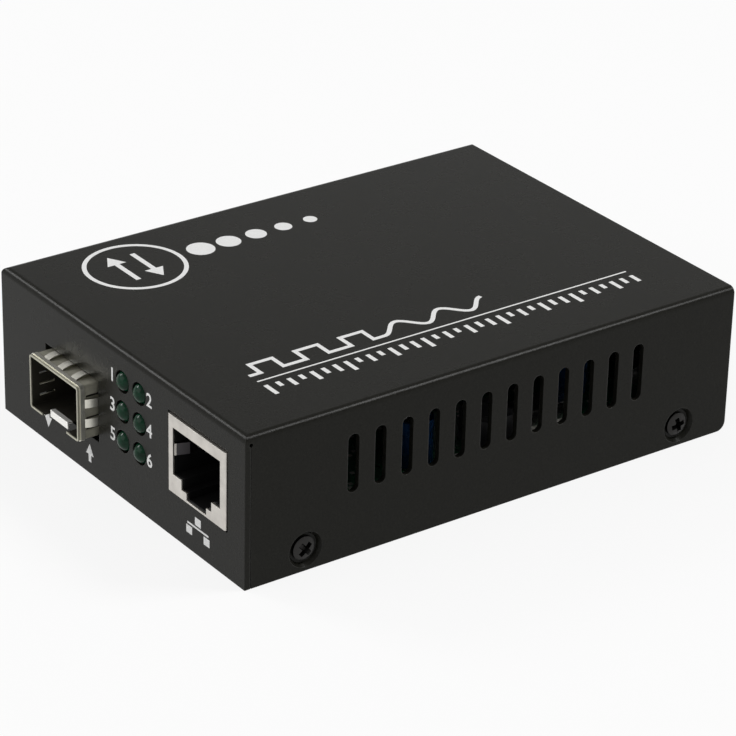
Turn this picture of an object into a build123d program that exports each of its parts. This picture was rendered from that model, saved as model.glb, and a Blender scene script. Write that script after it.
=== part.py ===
from build123d import *
import math
import os

# A desktop fibre media converter: a folded sheet-steel case round one circuit board.
# A cage for a pluggable optical module and a copper network jack stand at the front,
# with six indicator lamps between them. The power inlet is at the back.
# Millimetres. X runs across the front, Y from front to back, Z up.
# The origin is the centre of the underside of the case.

# How far a cutter runs past the face that it opens
beyond = 1.0

# Case
case_width = 70.3
case_depth = 94.0
case_height = 25.6
sheet = 1.0
bend_inside = 0.1
rear_bend_inside = 0.6
fold_gap = 0.15
corner_seam = 0.12
corner_relief_radius = 0.35

# Vent slots
vent_count = 12
vent_pitch = 5.0
vent_width = 2.1
vent_length = 9.9
vent_centre_height = 15.8

# Case screws and the dimples that hold their heads
case_screw_height = 3.6
case_screw_front_distance = 11.0
case_screw_rear_distance = 10.0
case_screw_length = 4.4
case_screw_head_radius = 2.0
case_screw_head_height = 0.9
dimple_depth = 0.9
dimple_mouth_radius = 3.0
dimple_floor_radius = 2.45
dimple_skirt = 0.45

# Threads are drawn at their outer size, with a hair of clearance in each hole
thread_radius = 1.45
thread_clearance = 0.05
through_clearance = 0.25
cross_arm = 1.2
cross_width = 0.65
cross_depth = 0.55
screw_head_chamfer = 0.3
board_screw_head_chamfer = 0.75

# Base tray
ear_width = 9.0
ear_height = 7.2
ear_relief = 0.8
ear_corner = 1.35
ear_gap = 0.05
ear_collar_radius = 2.1
ear_collar_length = 0.6
front_lip_height = 4.2

# Board and what holds it
board_thickness = 1.6
board_side_gap = 0.85
board_end_gap = 1.0
board_corner_radius = 1.0
standoff_height = 4.9
standoff_width = 5.5
standoff_shank_radius = 2.1
board_screw_length = 5.2
board_screw_head_radius = 2.75
board_screw_head_height = 1.9
standoff_side_distance = 5.6
front_left_standoff_distance = 7.0
front_right_standoff_distance = 19.0
rear_standoff_distance = 7.0
pin_stick_out = 1.0
pin_hole_clearance = 0.15

# Cage for the optical module
cage_side_distance = 21.45
cage_width = 14.5
cage_height = 9.4
cage_length = 48.4
cage_protrusion = 3.4
cage_sheet = 0.3
cage_bend_inside = 0.2
latch_tab_width = 5.2
latch_tab_length = 11.5
latch_tab_rise = 0.9
latch_tab_setback = 0.9
latch_tab_slot = 1.1
latch_hole_side = 2.6
latch_hole_setback = 5.2
cage_leg_width = 0.8
cage_leg_count = 5
cage_first_leg_setback = 2.0
cage_last_leg_setback = 3.0
cage_slit_count = 4
cage_slit_pitch = 1.9
cage_slit_height = 0.4
cage_slit_length = 2.8
cage_slit_setback = 0.3

# Spring-finger collar round the mouth of the cage
collar_sheet = 0.15
collar_setback = 0.45
collar_band = 0.8
finger_landing_gap = 0.15
finger_bow = 0.45
finger_width = 1.5
top_finger_pitch = 4.1
side_finger_pitch = 3.4
finger_cutout_gap = 0.1

# Host connector in the cage
host_width = 12.4
host_height = 5.6
host_depth = 7.4
host_slot_width = 10.6
host_slot_height = 1.9
host_slot_floor = 1.9
host_rear_distance = 2.6
host_floor_gap = 0.3
host_chamfer = 0.8
host_contact_count = 10
host_contact_pitch = 0.8
host_contact_width = 0.35
host_contact_thickness = 0.2
host_contact_setback = 0.6
host_lower_tail = 0.4
host_upper_tail = 1.1
host_upper_foot = 0.5

# Network jack
jack_side_distance = 12.65
jack_width = 15.65
jack_height = 13.1
jack_depth = 16.0
jack_foot = 0.5
jack_proud = 0.3
jack_sheet = 0.3
jack_cutout_gap = 0.3
jack_insert_gap = 0.05
plug_width = 12.9
plug_top_band = 1.95
plug_low_edge = 3.15
plug_step_width = 8.2
plug_step_edge = 1.5
plug_notch_width = 5.4
plug_notch_edge = 0.35
plug_depth = 12.0
jack_insert_recess = 0.25
jack_rear_room = 2.4
jack_peg_radius = 1.55
jack_peg_spacing = 11.4
jack_peg_depth = 9.0
jack_tab_width = 1.6
jack_tab_depth = 5.5
jack_tail_window_height = 1.5
jack_peg_foot = 0.5
jack_contact_count = 8
jack_contact_pitch = 1.02
jack_contact_size = 0.35
jack_contact_side_gap = 0.08
jack_contact_roof_gap = 0.2
jack_contact_fold = 1.9
jack_contact_fold_drop = 0.45
jack_contact_fold_lead = 0.3
jack_contact_reach = 7.0
jack_contact_dip = 2.6
jack_groove_setback = 1.6
jack_groove_gap = 0.05
ground_spring_width = 2.0
ground_spring_length = 3.7
ground_spring_bow = 0.65
ground_spring_crest = 2.3
ground_spring_tip_bow = 0.2
ground_spring_sheet = 0.21
ground_spring_drop = 3.9
ground_spring_side_gap = 0.2
ground_spring_end_gap = 0.5
ground_spring_groove = 0.6

# Indicator lamps. The share is the part of the spare room that lies towards the cage.
lamp_room_share = 0.4648
lamp_radius = 1.7
lamp_hole_gap = 0.2
lamp_column_pitch = 4.8
lamp_row_pitch = 5.15
lamp_first_row = 2.6
lamp_rows = 3
lamp_proud = 0.8
lamp_flange_radius = 1.95
lamp_flange_thickness = 0.8
lamp_lead_size = 0.5
lamp_lead_half_spacing = 1.1
lamp_first_lead = 1.0
lamp_lead_step = 1.7
holder_width = 9.4
holder_depth = 4.8
holder_roof = 2.3
holder_front_gap = 0.3
holder_bore_gap = 0.05
holder_corner = 0.6

# Power inlet
inlet_side_distance = 18.0
inlet_width = 9.0
inlet_height = 11.0
inlet_depth = 13.6
inlet_bore_radius = 3.15
inlet_bore_depth = 9.5
inlet_centre_height = 6.5
inlet_pin_radius = 1.05
inlet_pin_recess = 1.0
inlet_hole_radius = 3.8
inlet_wall_gap = 0.05
inlet_tab_width = 2.0
inlet_tab_thickness = 0.5
inlet_spring_thickness = 0.3
inlet_spring_setback = 3.2
inlet_spring_crest = 3.4
inlet_spring_rise = 0.6
inlet_spring_sag = 0.3
inlet_spring_reach = 5.4
inlet_slot_gap = 0.1
inlet_slot_cut = 0.63
inlet_shoulder = 2.0
inlet_pin_chamfer = 0.42

# Components on the board. A share is the part of the spare room that lies towards the cage.
transformer_width = 16.5
transformer_depth = 10.0
transformer_height = 5.4
transformer_front_distance = 22.5
transformer_leads_per_side = 12
transformer_lead_pitch = 1.27
transformer_lead_height = 1.2
transformer_lead_width = 0.45
transformer_edge = 0.4
transformer_room_share = 0.305
chip_side = 14.0
chip_height = 1.5
chip_room_share = 0.365
chip_offset_y = 2.5
heat_sink_height = 6.5
heat_sink_base = 1.6
heat_sink_fins = 6
heat_sink_fin = 0.9
heat_sink_inset = 0.25
lead_thickness = 0.2
lead_reach = 1.4
lead_lift = 0.15
lead_shoulder = 0.5
lead_foot_length = 0.55
package_edge = 0.2
capacitor_radius = 3.15
capacitor_height = 8.0
capacitor_sleeve = 0.15
capacitor_score_length = 4.2
capacitor_score_width = 0.2
capacitor_score_depth = 0.2
sleeve_lift = 0.3
sleeve_lip = 0.6
capacitor_lead_radius = 0.3
capacitor_lead_spacing = 2.5
edge_row_distance = 4.0
capacitor_front_offset = -10.6
inductor_side = 7.0
inductor_height = 5.0
inductor_offset = 3.6
inductor_corner = 1.05
inductor_ring_outer = 2.5
inductor_ring_inner = 2.1
inductor_ring_depth = 0.5
crystal_length = 11.0
crystal_width = 4.7
crystal_height = 3.6
crystal_offset = 13.6
crystal_rim = 0.35
crystal_rim_height = 0.5
rear_capacitor_distance = 20.0
rear_capacitor_inset = 6.15
memory_length = 5.0
memory_width = 4.0
memory_height = 1.5
memory_lead_pitch = 1.27
memory_leads_per_side = 4
memory_lead_height = 0.7
memory_lead_width = 0.4
memory_cage_gap = 2.0
memory_offset_y = 6.0
regulator_width = 6.5
regulator_depth = 3.6
regulator_height = 1.7
regulator_lead_pitch = 2.3
regulator_lead_count = 3
regulator_lead_height = 0.8
regulator_lead_width = 0.7
regulator_tab_width = 3.0
regulator_offset_x = 3.75
regulator_row_distance = 8.5
chip_part_length = 1.6
chip_part_width = 0.8
chip_part_height = 0.6
chip_part_pitch = 2.4
chip_row_gap = 3.0
long_row_count = 6
short_row_count = 4
short_row_distance = 7.0

# Derived places
front = -case_depth / 2
rear = case_depth / 2
front_inside = front + sheet
rear_inside = rear - sheet
half_width = case_width / 2
side_inside = half_width - sheet
tray_half_width = side_inside - fold_gap
bend_outside = bend_inside + sheet
rear_bend_outside = rear_bend_inside + sheet

ear_face = half_width - dimple_depth - sheet - ear_gap
screw_rows = (front + case_screw_front_distance, rear - case_screw_rear_distance)
thread_hole_radius = thread_radius + thread_clearance
through_hole_radius = thread_radius + through_clearance

board_bottom = sheet + standoff_height
board_top = board_bottom + board_thickness
board_half_width = ear_face - sheet - board_side_gap
board_front = front_inside + board_end_gap
board_rear = rear_inside - board_end_gap
pin_end = board_bottom - pin_stick_out

standoff_x = board_half_width - standoff_side_distance
standoff_spots = (
    (-standoff_x, board_front + front_left_standoff_distance),
    (standoff_x, board_front + front_right_standoff_distance),
    (-standoff_x, board_rear - rear_standoff_distance),
    (standoff_x, board_rear - rear_standoff_distance),
)

cage_x = -half_width + cage_side_distance
cage_front = front - cage_protrusion
cage_rear = cage_front + cage_length
cage_base = board_top
cage_top = cage_base + cage_height
cage_middle = cage_base + cage_height / 2
cage_half = cage_width / 2
finger_reach = collar_sheet + finger_bow + finger_cutout_gap
collar_front = cage_front + collar_setback
collar_rear = collar_front + collar_band
finger_length = board_front - finger_landing_gap - collar_rear

jack_x = half_width - jack_side_distance
jack_front = front - jack_proud
jack_rear = jack_front + jack_depth
jack_base = board_top + jack_foot
jack_top = jack_base + jack_height
insert_front = jack_front + jack_insert_recess + jack_sheet
insert_rear = jack_rear - jack_rear_room
plug_top = jack_top - plug_top_band
plug_rear = insert_front + plug_depth
ground_spring_z = plug_top - ground_spring_drop

cage_right = cage_x + cage_half
lamp_room = jack_x - jack_width / 2 - cage_right - holder_width
lamp_x = cage_right + lamp_room * lamp_room_share + holder_width / 2
lamp_columns = (lamp_x - lamp_column_pitch / 2, lamp_x + lamp_column_pitch / 2)
lamp_heights = [board_top + lamp_first_row + row * lamp_row_pitch for row in range(lamp_rows)]
holder_front = front_inside + holder_front_gap
holder_rear = holder_front + holder_depth
lamp_rear = holder_rear + lamp_flange_thickness

inlet_x = -half_width + inlet_side_distance
inlet_face = rear_inside - inlet_wall_gap
inlet_front = inlet_face - inlet_depth
inlet_z = board_top + inlet_centre_height

edge_row_x = board_half_width - edge_row_distance
capacitor_spots = (
    (edge_row_x, capacitor_front_offset),
    (edge_row_x - rear_capacitor_inset, board_rear - rear_capacitor_distance),
)

transformer_room = standoff_x - board_screw_head_radius - cage_right - transformer_width
transformer_spot = (
    cage_right + transformer_room * transformer_room_share + transformer_width / 2,
    board_front + transformer_front_distance,
)
chip_room = edge_row_x - inductor_side / 2 - cage_right - chip_side
chip_spot = (cage_right + chip_room * chip_room_share + chip_side / 2, chip_offset_y)
chip_row_y = chip_spot[1] + chip_side / 2 + chip_row_gap
memory_spot = (cage_x - cage_half - memory_cage_gap - memory_width / 2, memory_offset_y)
regulator_spot = (regulator_offset_x, chip_row_y + regulator_row_distance)
chip_part_rows = (
    (chip_spot[0] - chip_side / 2, chip_row_y, long_row_count),
    (memory_spot[0] - memory_width / 2, memory_spot[1] + short_row_distance, short_row_count),
    (
        memory_spot[0] - memory_width / 2,
        memory_spot[1] + short_row_distance + chip_row_gap,
        short_row_count,
    ),
)


def block(x_limits, y_limits, z_limits):
    """Box between two limits on each axis."""
    size = [high - low for low, high in (x_limits, y_limits, z_limits)]
    middle = [(high + low) / 2 for low, high in (x_limits, y_limits, z_limits)]
    return Pos(*middle) * Box(*size)


def panel(across, up):
    """Rectangle between two limits along each axis of a view."""
    middle = Pos(sum(across) / 2, sum(up) / 2)
    return middle * Rectangle(across[1] - across[0], up[1] - up[0])


def run_x(profile, start, end):
    """Extrude a side view (Y, Z) between two X places."""
    return extrude(Plane.YZ.offset(start) * profile, amount=end - start)


def run_y(profile, start, end):
    """Extrude a front view (X, Z) between two Y places."""
    return extrude(Plane.XZ.offset(-start) * profile, amount=start - end)


def run_z(profile, start, end):
    """Extrude a plan view (X, Y) between two heights."""
    return extrude(Plane.XY.offset(start) * profile, amount=end - start)


def peg(x, y, z_limits, radius):
    """Upright round pin or cutter."""
    return Pos(x, y, z_limits[0]) * Cylinder(
        radius, z_limits[1] - z_limits[0], align=(Align.CENTER, Align.CENTER, Align.MIN)
    )


def round_corner(profile, across, up, radius):
    """Round the corner of a view that lies furthest towards (across, up)."""
    corner = profile.vertices().sort_by(lambda point: point.X * across + point.Y * up)[-1]
    return fillet(corner, radius)


def ribbon(points, thickness):
    """Side view of a bent strip whose centre line runs through the points."""
    half = thickness / 2
    steps = []
    for start, end in zip(points, points[1:]):
        length = math.dist(start, end)
        steps.append(((end[0] - start[0]) / length, (end[1] - start[1]) / length))
    one_side = []
    other_side = []
    for index, (across, up) in enumerate(points):
        before = steps[max(index - 1, 0)]
        after = steps[min(index, len(steps) - 1)]
        scale = half / (1 + before[0] * after[0] + before[1] * after[1])
        shift = ((before[1] + after[1]) * scale, (before[0] + after[0]) * scale)
        one_side.append((across - shift[0], up + shift[1]))
        other_side.append((across + shift[0], up - shift[1]))
    outline = Polyline(*one_side, *reversed(other_side), close=True)
    return make_face(outline)


def group(pieces):
    """Separate solids kept together in one node."""
    solids = []
    for piece in pieces:
        solids.extend(piece.solids())
    return Compound(solids)


def cross_recess():
    """Cross-head recess that opens upwards at the origin."""
    arm = Box(2 * cross_arm, cross_width, 2 * cross_depth)
    return arm + Rot(0, 0, 90) * arm


def screw(head_radius, head_height, head_chamfer, length):
    """Pan-head screw that stands on the origin, head up and thread down."""
    head = Cylinder(head_radius, head_height, align=(Align.CENTER, Align.CENTER, Align.MIN))
    head = chamfer(head.edges().group_by(Axis.Z)[-1], head_chamfer)
    head -= Pos(0, 0, head_height) * cross_recess()
    return head + Cylinder(thread_radius, length, align=(Align.CENTER, Align.CENTER, Align.MAX))


def case_form(inset, radius, overrun):
    """Form of the folded case, drawn in by an inset and run on past its back and underside."""
    half = half_width - inset
    top = case_height - inset
    front_view = panel((-half, half), (-overrun, top))
    front_view = round_corner(front_view, 1, 1, radius)
    front_view = round_corner(front_view, -1, 1, radius)
    side_view = panel((front + inset, rear + overrun), (-overrun, top))
    side_view = round_corner(side_view, -1, 1, radius)
    return run_y(front_view, front, rear + overrun) & run_x(side_view, -half, half)


def dimple(side, y):
    """Metal pressed inwards round a case screw, and the hollow left outside."""
    turn = Rot(0, 90 * side, 0)
    bulge = Pos(side * side_inside, y, case_screw_height) * turn * Cone(
        dimple_floor_radius + dimple_skirt,
        dimple_mouth_radius + dimple_skirt,
        dimple_depth,
        align=(Align.CENTER, Align.CENTER, Align.MAX),
    )
    hollow = Pos(side * half_width, y, case_screw_height) * turn * Cone(
        dimple_floor_radius,
        dimple_mouth_radius,
        dimple_depth,
        align=(Align.CENTER, Align.CENTER, Align.MAX),
    )
    hole = Pos(side * side_inside, y, case_screw_height) * turn * Cylinder(
        through_hole_radius, 2 * (sheet + dimple_depth)
    )
    return bulge, hollow + hole


def front_cutouts():
    """Openings in the front for the cage, the jack and the lamps."""
    cage_hole = panel(
        (cage_x - cage_half - finger_reach, cage_x + cage_half + finger_reach),
        (cage_base - finger_reach, cage_top + finger_reach),
    )
    jack_reach = jack_width / 2 + jack_cutout_gap
    jack_hole = panel(
        (jack_x - jack_reach, jack_x + jack_reach),
        (jack_base - jack_cutout_gap, jack_top + jack_cutout_gap),
    )
    holes = cage_hole + jack_hole
    for x in lamp_columns:
        for z in lamp_heights:
            holes += Pos(x, z) * Circle(lamp_radius + lamp_hole_gap)
    return run_y(holes, front - beyond, front_inside + fold_gap / 2)


def side_vents():
    """Upright round-ended slots through both sides."""
    slots = Sketch()
    for index in range(vent_count):
        y = (index - (vent_count - 1) / 2) * vent_pitch
        slots += Pos(y, vent_centre_height) * Rot(0, 0, 90) * SlotOverall(vent_length, vent_width)
    return run_x(slots, -case_width, case_width)


def make_top_cover():
    """Top, front and both sides, folded from one sheet."""
    side_view = round_corner(panel((front, rear), (0, case_height)), 1, -1, rear_bend_outside)
    outside = case_form(0, bend_outside, 0) & run_x(side_view, -half_width, half_width)
    cover = outside - case_form(sheet, bend_inside, beyond)
    seam_top = case_height - bend_outside - corner_relief_radius
    for side in (-1, 1):
        walls = sorted((side * (side_inside - bend_inside), side * (half_width + beyond)))
        seam = block(walls, (front_inside, front_inside + corner_seam), (-beyond, seam_top))
        relief = run_x(
            Pos(front_inside + corner_seam / 2, seam_top) * Circle(corner_relief_radius), *walls
        )
        cover -= seam + relief
    for side in (-1, 1):
        for y in screw_rows:
            bulge, hollow = dimple(side, y)
            cover = cover + bulge - hollow
    return cover - side_vents() - front_cutouts()


def tray_ear(side, y):
    """Ear bent up from the tray's edge, with a drawn and tapped hole."""
    ear_view = panel((-ear_face, -ear_face + ear_height), (0, ear_height))
    ear_view = round_corner(ear_view, -1, -1, bend_outside)
    ear_inner = panel(
        (-ear_face + sheet, -ear_face + ear_height + beyond), (sheet, ear_height + beyond)
    )
    ear_inner = round_corner(ear_inner, -1, -1, bend_inside)
    ear = run_y(ear_view - ear_inner, y - ear_width / 2, y + ear_width / 2)
    top_edges = ear.edges().filter_by(Axis.X).group_by(Axis.Z)[-1]
    ear = chamfer(top_edges, ear_corner)
    wall = -ear_face + sheet
    collar = Pos(wall, y, case_screw_height) * Rot(0, 90, 0) * Cylinder(
        ear_collar_radius, ear_collar_length, align=(Align.CENTER, Align.CENTER, Align.MIN)
    )
    bore = Pos(wall, y, case_screw_height) * Rot(0, 90, 0) * Cylinder(
        thread_hole_radius, 2 * (sheet + ear_collar_length + beyond)
    )
    ear = ear + collar - bore
    return ear if side < 0 else mirror(ear, Plane.YZ)


def make_base_tray():
    """Bottom, rear wall, low front lip and four screw ears, folded from one sheet."""
    wall_top = case_height - sheet - fold_gap
    tray_front = front_inside + fold_gap
    outline = panel((tray_front, rear), (0, wall_top))
    outline = round_corner(outline, 1, -1, rear_bend_outside)
    outline = round_corner(outline, -1, -1, bend_outside)
    hollow = panel((tray_front + sheet, rear_inside), (sheet, wall_top + beyond))
    hollow = round_corner(hollow, 1, -1, rear_bend_inside)
    hollow = round_corner(hollow, -1, -1, bend_inside)
    above_lip = panel(
        (tray_front - beyond, tray_front + sheet + beyond), (front_lip_height, wall_top + beyond)
    )
    tray = run_x(outline - hollow - above_lip, -tray_half_width, tray_half_width)
    wall_corners = tray.edges().filter_by(Axis.Y).group_by(Axis.Z)[-1]
    tray = fillet(wall_corners, bend_inside + fold_gap)
    notch_half = ear_width / 2 + ear_relief
    for side in (-1, 1):
        for y in screw_rows:
            edge = sorted((side * (ear_face - bend_outside), side * half_width))
            notch = block(edge, (y - notch_half, y + notch_half), (-beyond, sheet + beyond))
            tray = tray - notch + tray_ear(side, y)
    for x, y in standoff_spots:
        tray -= peg(x, y, (-beyond, sheet + beyond), standoff_shank_radius)
    inlet_hole = Pos(inlet_x, inlet_z) * Circle(inlet_hole_radius)
    return tray - run_y(inlet_hole, rear_inside - beyond, rear + beyond)


def make_case_screws():
    """Four cross-head screws in the side dimples."""
    shape = screw(case_screw_head_radius, case_screw_head_height, screw_head_chamfer, case_screw_length)
    screws = []
    for side in (-1, 1):
        for y in screw_rows:
            place = Pos(side * (half_width - dimple_depth), y, case_screw_height) * Rot(0, 90 * side, 0)
            screws.append(place * shape)
    return group(screws)


def make_board_standoffs():
    """Four hexagonal press-in standoffs, flush under the tray."""
    pieces = []
    for x, y in standoff_spots:
        hexagon = Pos(x, y) * RegularPolygon(standoff_width / 2, 6, major_radius=False)
        body = run_z(hexagon, sheet, board_bottom)
        body += peg(x, y, (0, sheet), standoff_shank_radius - thread_clearance)
        body -= peg(x, y, (-beyond, board_top), thread_hole_radius)
        pieces.append(body)
    return group(pieces)


def make_board_screws():
    """Four pan-head screws that hold the board down."""
    shape = screw(
        board_screw_head_radius, board_screw_head_height, board_screw_head_chamfer, board_screw_length
    )
    return group([Pos(x, y, board_top) * shape for x, y in standoff_spots])


def cage_leg_places():
    """Plan places of the cage's press-in legs."""
    first = board_front + cage_first_leg_setback
    last = cage_rear - cage_last_leg_setback
    places = []
    for side in (-1, 1):
        for index in range(cage_leg_count):
            y = first + (last - first) * index / (cage_leg_count - 1)
            places.append((cage_x + side * (cage_half - cage_sheet / 2), y))
    return places


def jack_tail_places():
    """Plan places of the eight jack contacts' tails, in two staggered rows."""
    places = []
    for index in range(jack_contact_count):
        x = jack_x + (index - (jack_contact_count - 1) / 2) * jack_contact_pitch
        row = insert_rear + jack_contact_size + (index % 2) * jack_contact_pitch
        places.append((x, row))
    return places


def jack_peg_places():
    """Plan places of the jack insert's two locating pegs."""
    y = jack_front + jack_peg_depth
    return [(jack_x - jack_peg_spacing / 2, y), (jack_x + jack_peg_spacing / 2, y)]


def jack_tab_places():
    """Plan places of the jack shield's two soldered tabs."""
    reach = jack_width / 2 - jack_sheet / 2
    y = jack_front + jack_tab_depth
    return [(jack_x - reach, y), (jack_x + reach, y)]


def lamp_lead_places():
    """Plan place and height of each lamp lead: (x, y where it turns down, z it leaves at)."""
    places = []
    for x in lamp_columns:
        for row, z in enumerate(lamp_heights):
            y = lamp_rear + lamp_first_lead + row * lamp_lead_step
            for side in (-1, 1):
                places.append((x + side * lamp_lead_half_spacing, y, z))
    return places


def inlet_pin_tail_y():
    """Where the inlet's centre pin turns down, behind its housing."""
    return inlet_front - inlet_tab_thickness / 2


def inlet_spring_tail_y():
    """Where the inlet's side spring goes through the board."""
    return inlet_face - inlet_spring_setback


def capacitor_lead_places():
    """Plan places of the can capacitors' leads."""
    places = []
    for x, y in capacitor_spots:
        places.append((x, y - capacitor_lead_spacing / 2))
        places.append((x, y + capacitor_lead_spacing / 2))
    return places


def board_round_holes():
    """Round drilled holes in the board: (x, y, radius)."""
    holes = [(x, y, through_hole_radius) for x, y in standoff_spots]
    holes += [(x, y, jack_peg_radius + pin_hole_clearance) for x, y in jack_peg_places()]
    holes += [(x, y, capacitor_lead_radius + pin_hole_clearance) for x, y in capacitor_lead_places()]
    return holes


def board_slots():
    """Rectangular plated slots for flat tabs and square pins: (x, y, pin width, pin depth)."""
    slots = [(x, y, cage_sheet, cage_leg_width) for x, y in cage_leg_places()]
    slots += [(x, y, jack_contact_size, jack_contact_size) for x, y in jack_tail_places()]
    slots += [(x, y, jack_sheet, jack_tab_width) for x, y in jack_tab_places()]
    slots += [(x, y, lamp_lead_size, lamp_lead_size) for x, y, _ in lamp_lead_places()]
    slots.append((inlet_x, inlet_pin_tail_y(), inlet_tab_width, inlet_tab_thickness))
    slots.append((inlet_x, inlet_spring_tail_y(), inlet_tab_width, inlet_spring_thickness))
    return slots


def make_main_board():
    """Circuit board with its screw holes and soldered-pin holes."""
    plan = panel((-board_half_width, board_half_width), (board_front, board_rear))
    plan = fillet(plan.vertices(), board_corner_radius)
    for x, y, radius in board_round_holes():
        plan -= Pos(x, y) * Circle(radius)
    for x, y, width, depth in board_slots():
        plan -= Pos(x, y) * Rectangle(width + 2 * pin_hole_clearance, depth + 2 * pin_hole_clearance)
    return run_z(plan, board_bottom, board_top)


def cage_latch_tab():
    """Ramped latch tab in the cage floor, with a turned-down lip and a three-cornered hole."""
    tip = cage_front + latch_tab_setback
    hinge = tip + latch_tab_length
    low = cage_base + cage_sheet / 2
    high = low + latch_tab_rise
    line = [(hinge + cage_sheet, low), (hinge, low), (tip + cage_sheet / 2, high)]
    line.append((tip + cage_sheet / 2, cage_base))
    tab = run_x(ribbon(line, cage_sheet), cage_x - latch_tab_width / 2, cage_x + latch_tab_width / 2)
    hole = Pos(cage_x, tip + latch_hole_setback) * Rot(0, 0, 90) * Triangle(
        a=latch_hole_side, b=latch_hole_side, c=latch_hole_side
    )
    return tab - run_z(hole, cage_base - beyond, high + beyond)


def make_sfp_cage():
    """Folded cage with a ramped latch tab, slits behind its mouth and press-in legs."""
    outer = Pos(cage_x, cage_middle) * RectangleRounded(
        cage_width, cage_height, cage_bend_inside + cage_sheet
    )
    inner = Pos(cage_x, cage_middle) * RectangleRounded(
        cage_width - 2 * cage_sheet, cage_height - 2 * cage_sheet, cage_bend_inside
    )
    cage = run_y(outer, cage_front, cage_rear)
    cage -= run_y(inner, cage_front - beyond, cage_rear - cage_sheet)
    floor = (cage_base - cage_sheet, cage_base + 2 * cage_sheet)
    slot_rear = cage_front + latch_tab_setback + latch_tab_length
    tab_room = latch_tab_width / 2 + latch_tab_slot
    cage -= block((cage_x - tab_room, cage_x + tab_room), (cage_front - beyond, slot_rear), floor)
    host_front = cage_rear - host_rear_distance - host_depth
    floor_half = host_width / 2 + host_floor_gap
    cage -= block(
        (cage_x - floor_half, cage_x + floor_half), (host_front - beyond, cage_rear - cage_sheet), floor
    )
    cage += cage_latch_tab()
    slit_front = collar_rear + cage_slit_setback
    for index in range(cage_slit_count):
        z = cage_middle + (index - (cage_slit_count - 1) / 2) * cage_slit_pitch
        cage -= block(
            (cage_x - cage_width, cage_x + cage_width),
            (slit_front, slit_front + cage_slit_length),
            (z - cage_slit_height / 2, z + cage_slit_height / 2),
        )
    for x, y in cage_leg_places():
        cage += block(
            (x - cage_sheet / 2, x + cage_sheet / 2),
            (y - cage_leg_width / 2, y + cage_leg_width / 2),
            (pin_end, cage_base + cage_bend_inside + cage_sheet),
        )
    return cage


def spring_finger(width):
    """Finger that leaves the collar at the origin, bows outwards (+Z) and lands again."""
    half = finger_length / 2
    crest = finger_bow + collar_sheet
    outside = ThreePointArc((0, collar_sheet), (half, crest), (finger_length, collar_sheet))
    inside = ThreePointArc((0, 0), (half, finger_bow), (finger_length, 0))
    outline = [outside, inside, Line((0, 0), (0, collar_sheet))]
    outline.append(Line((finger_length, 0), (finger_length, collar_sheet)))
    return run_x(make_face(outline), -width / 2, width / 2)


def make_sfp_emi_fingers():
    """Collar clipped round the cage's mouth, with bowed spring fingers that ground it to the front."""
    corner = cage_bend_inside + cage_sheet
    outside = RectangleRounded(
        cage_width + 2 * collar_sheet, cage_height + 2 * collar_sheet, corner + collar_sheet
    )
    band = Pos(cage_x, cage_middle) * (outside - RectangleRounded(cage_width, cage_height, corner))
    collar = run_y(band, collar_front, collar_rear)
    tab_room = latch_tab_width / 2 + latch_tab_slot
    collar -= block(
        (cage_x - tab_room, cage_x + tab_room),
        (collar_front - beyond, collar_rear + beyond),
        (cage_base - beyond, cage_base + cage_sheet),
    )
    finger = spring_finger(finger_width)
    for step in (-1, 0, 1):
        collar += Pos(cage_x + step * top_finger_pitch, collar_rear, cage_top) * finger
    for side in (-1, 1):
        for step in (-0.5, 0.5):
            height = cage_middle + step * side_finger_pitch
            place = Pos(cage_x + side * cage_half, collar_rear, height)
            collar += place * Rot(0, 90 * side, 0) * finger
        place = Pos(cage_x + side * (tab_room + finger_width / 2), collar_rear, cage_base)
        collar += place * Rot(0, 180, 0) * finger
    return collar


def make_sfp_host_connector():
    """Edge-card connector that stands on the board inside the cage."""
    host_rear = cage_rear - host_rear_distance
    host_front = host_rear - host_depth
    base = board_top
    half = host_width / 2
    body = block((cage_x - half, cage_x + half), (host_front, host_rear), (base, base + host_height))
    body = chamfer(body.edges().filter_by(Axis.X).group_by(Axis.Z)[-1].sort_by(Axis.Y)[0], host_chamfer)
    slot = block(
        (cage_x - host_slot_width / 2, cage_x + host_slot_width / 2),
        (host_front - beyond, host_rear + beyond),
        (base + host_slot_floor, base + host_slot_floor + host_slot_height),
    )
    return body - slot


def make_sfp_host_contacts():
    """Two rows of contacts that line the host connector's slot and turn down to the board."""
    host_rear = cage_rear - host_rear_distance
    start = host_rear - host_depth + host_contact_setback
    half = host_contact_thickness / 2
    low = board_top + host_slot_floor + half
    high = board_top + host_slot_floor + host_slot_height - half
    foot = board_top + half
    lower_drop = host_rear + host_lower_tail
    upper_drop = host_rear + host_upper_tail
    lower = ribbon([(start, low), (lower_drop, low), (lower_drop, board_top)], host_contact_thickness)
    upper = ribbon(
        [(start, high), (upper_drop, high), (upper_drop, foot), (upper_drop + host_upper_foot, foot)],
        host_contact_thickness,
    )
    contacts = []
    for index in range(host_contact_count):
        x = cage_x + (index - (host_contact_count - 1) / 2) * host_contact_pitch
        shift = host_contact_pitch / 4
        for line, middle in ((lower, x - shift), (upper, x + shift)):
            half_contact = host_contact_width / 2
            contacts.append(run_x(line, middle - half_contact, middle + half_contact))
    return group(contacts)


def plug_outline():
    """Front view of the stepped plug opening."""
    steps = (
        (plug_width, plug_low_edge),
        (plug_step_width, plug_step_edge),
        (plug_notch_width, plug_notch_edge),
    )
    opening = Sketch()
    for width, low_edge in steps:
        opening += panel((jack_x - width / 2, jack_x + width / 2), (jack_base + low_edge, plug_top))
    return opening


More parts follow.
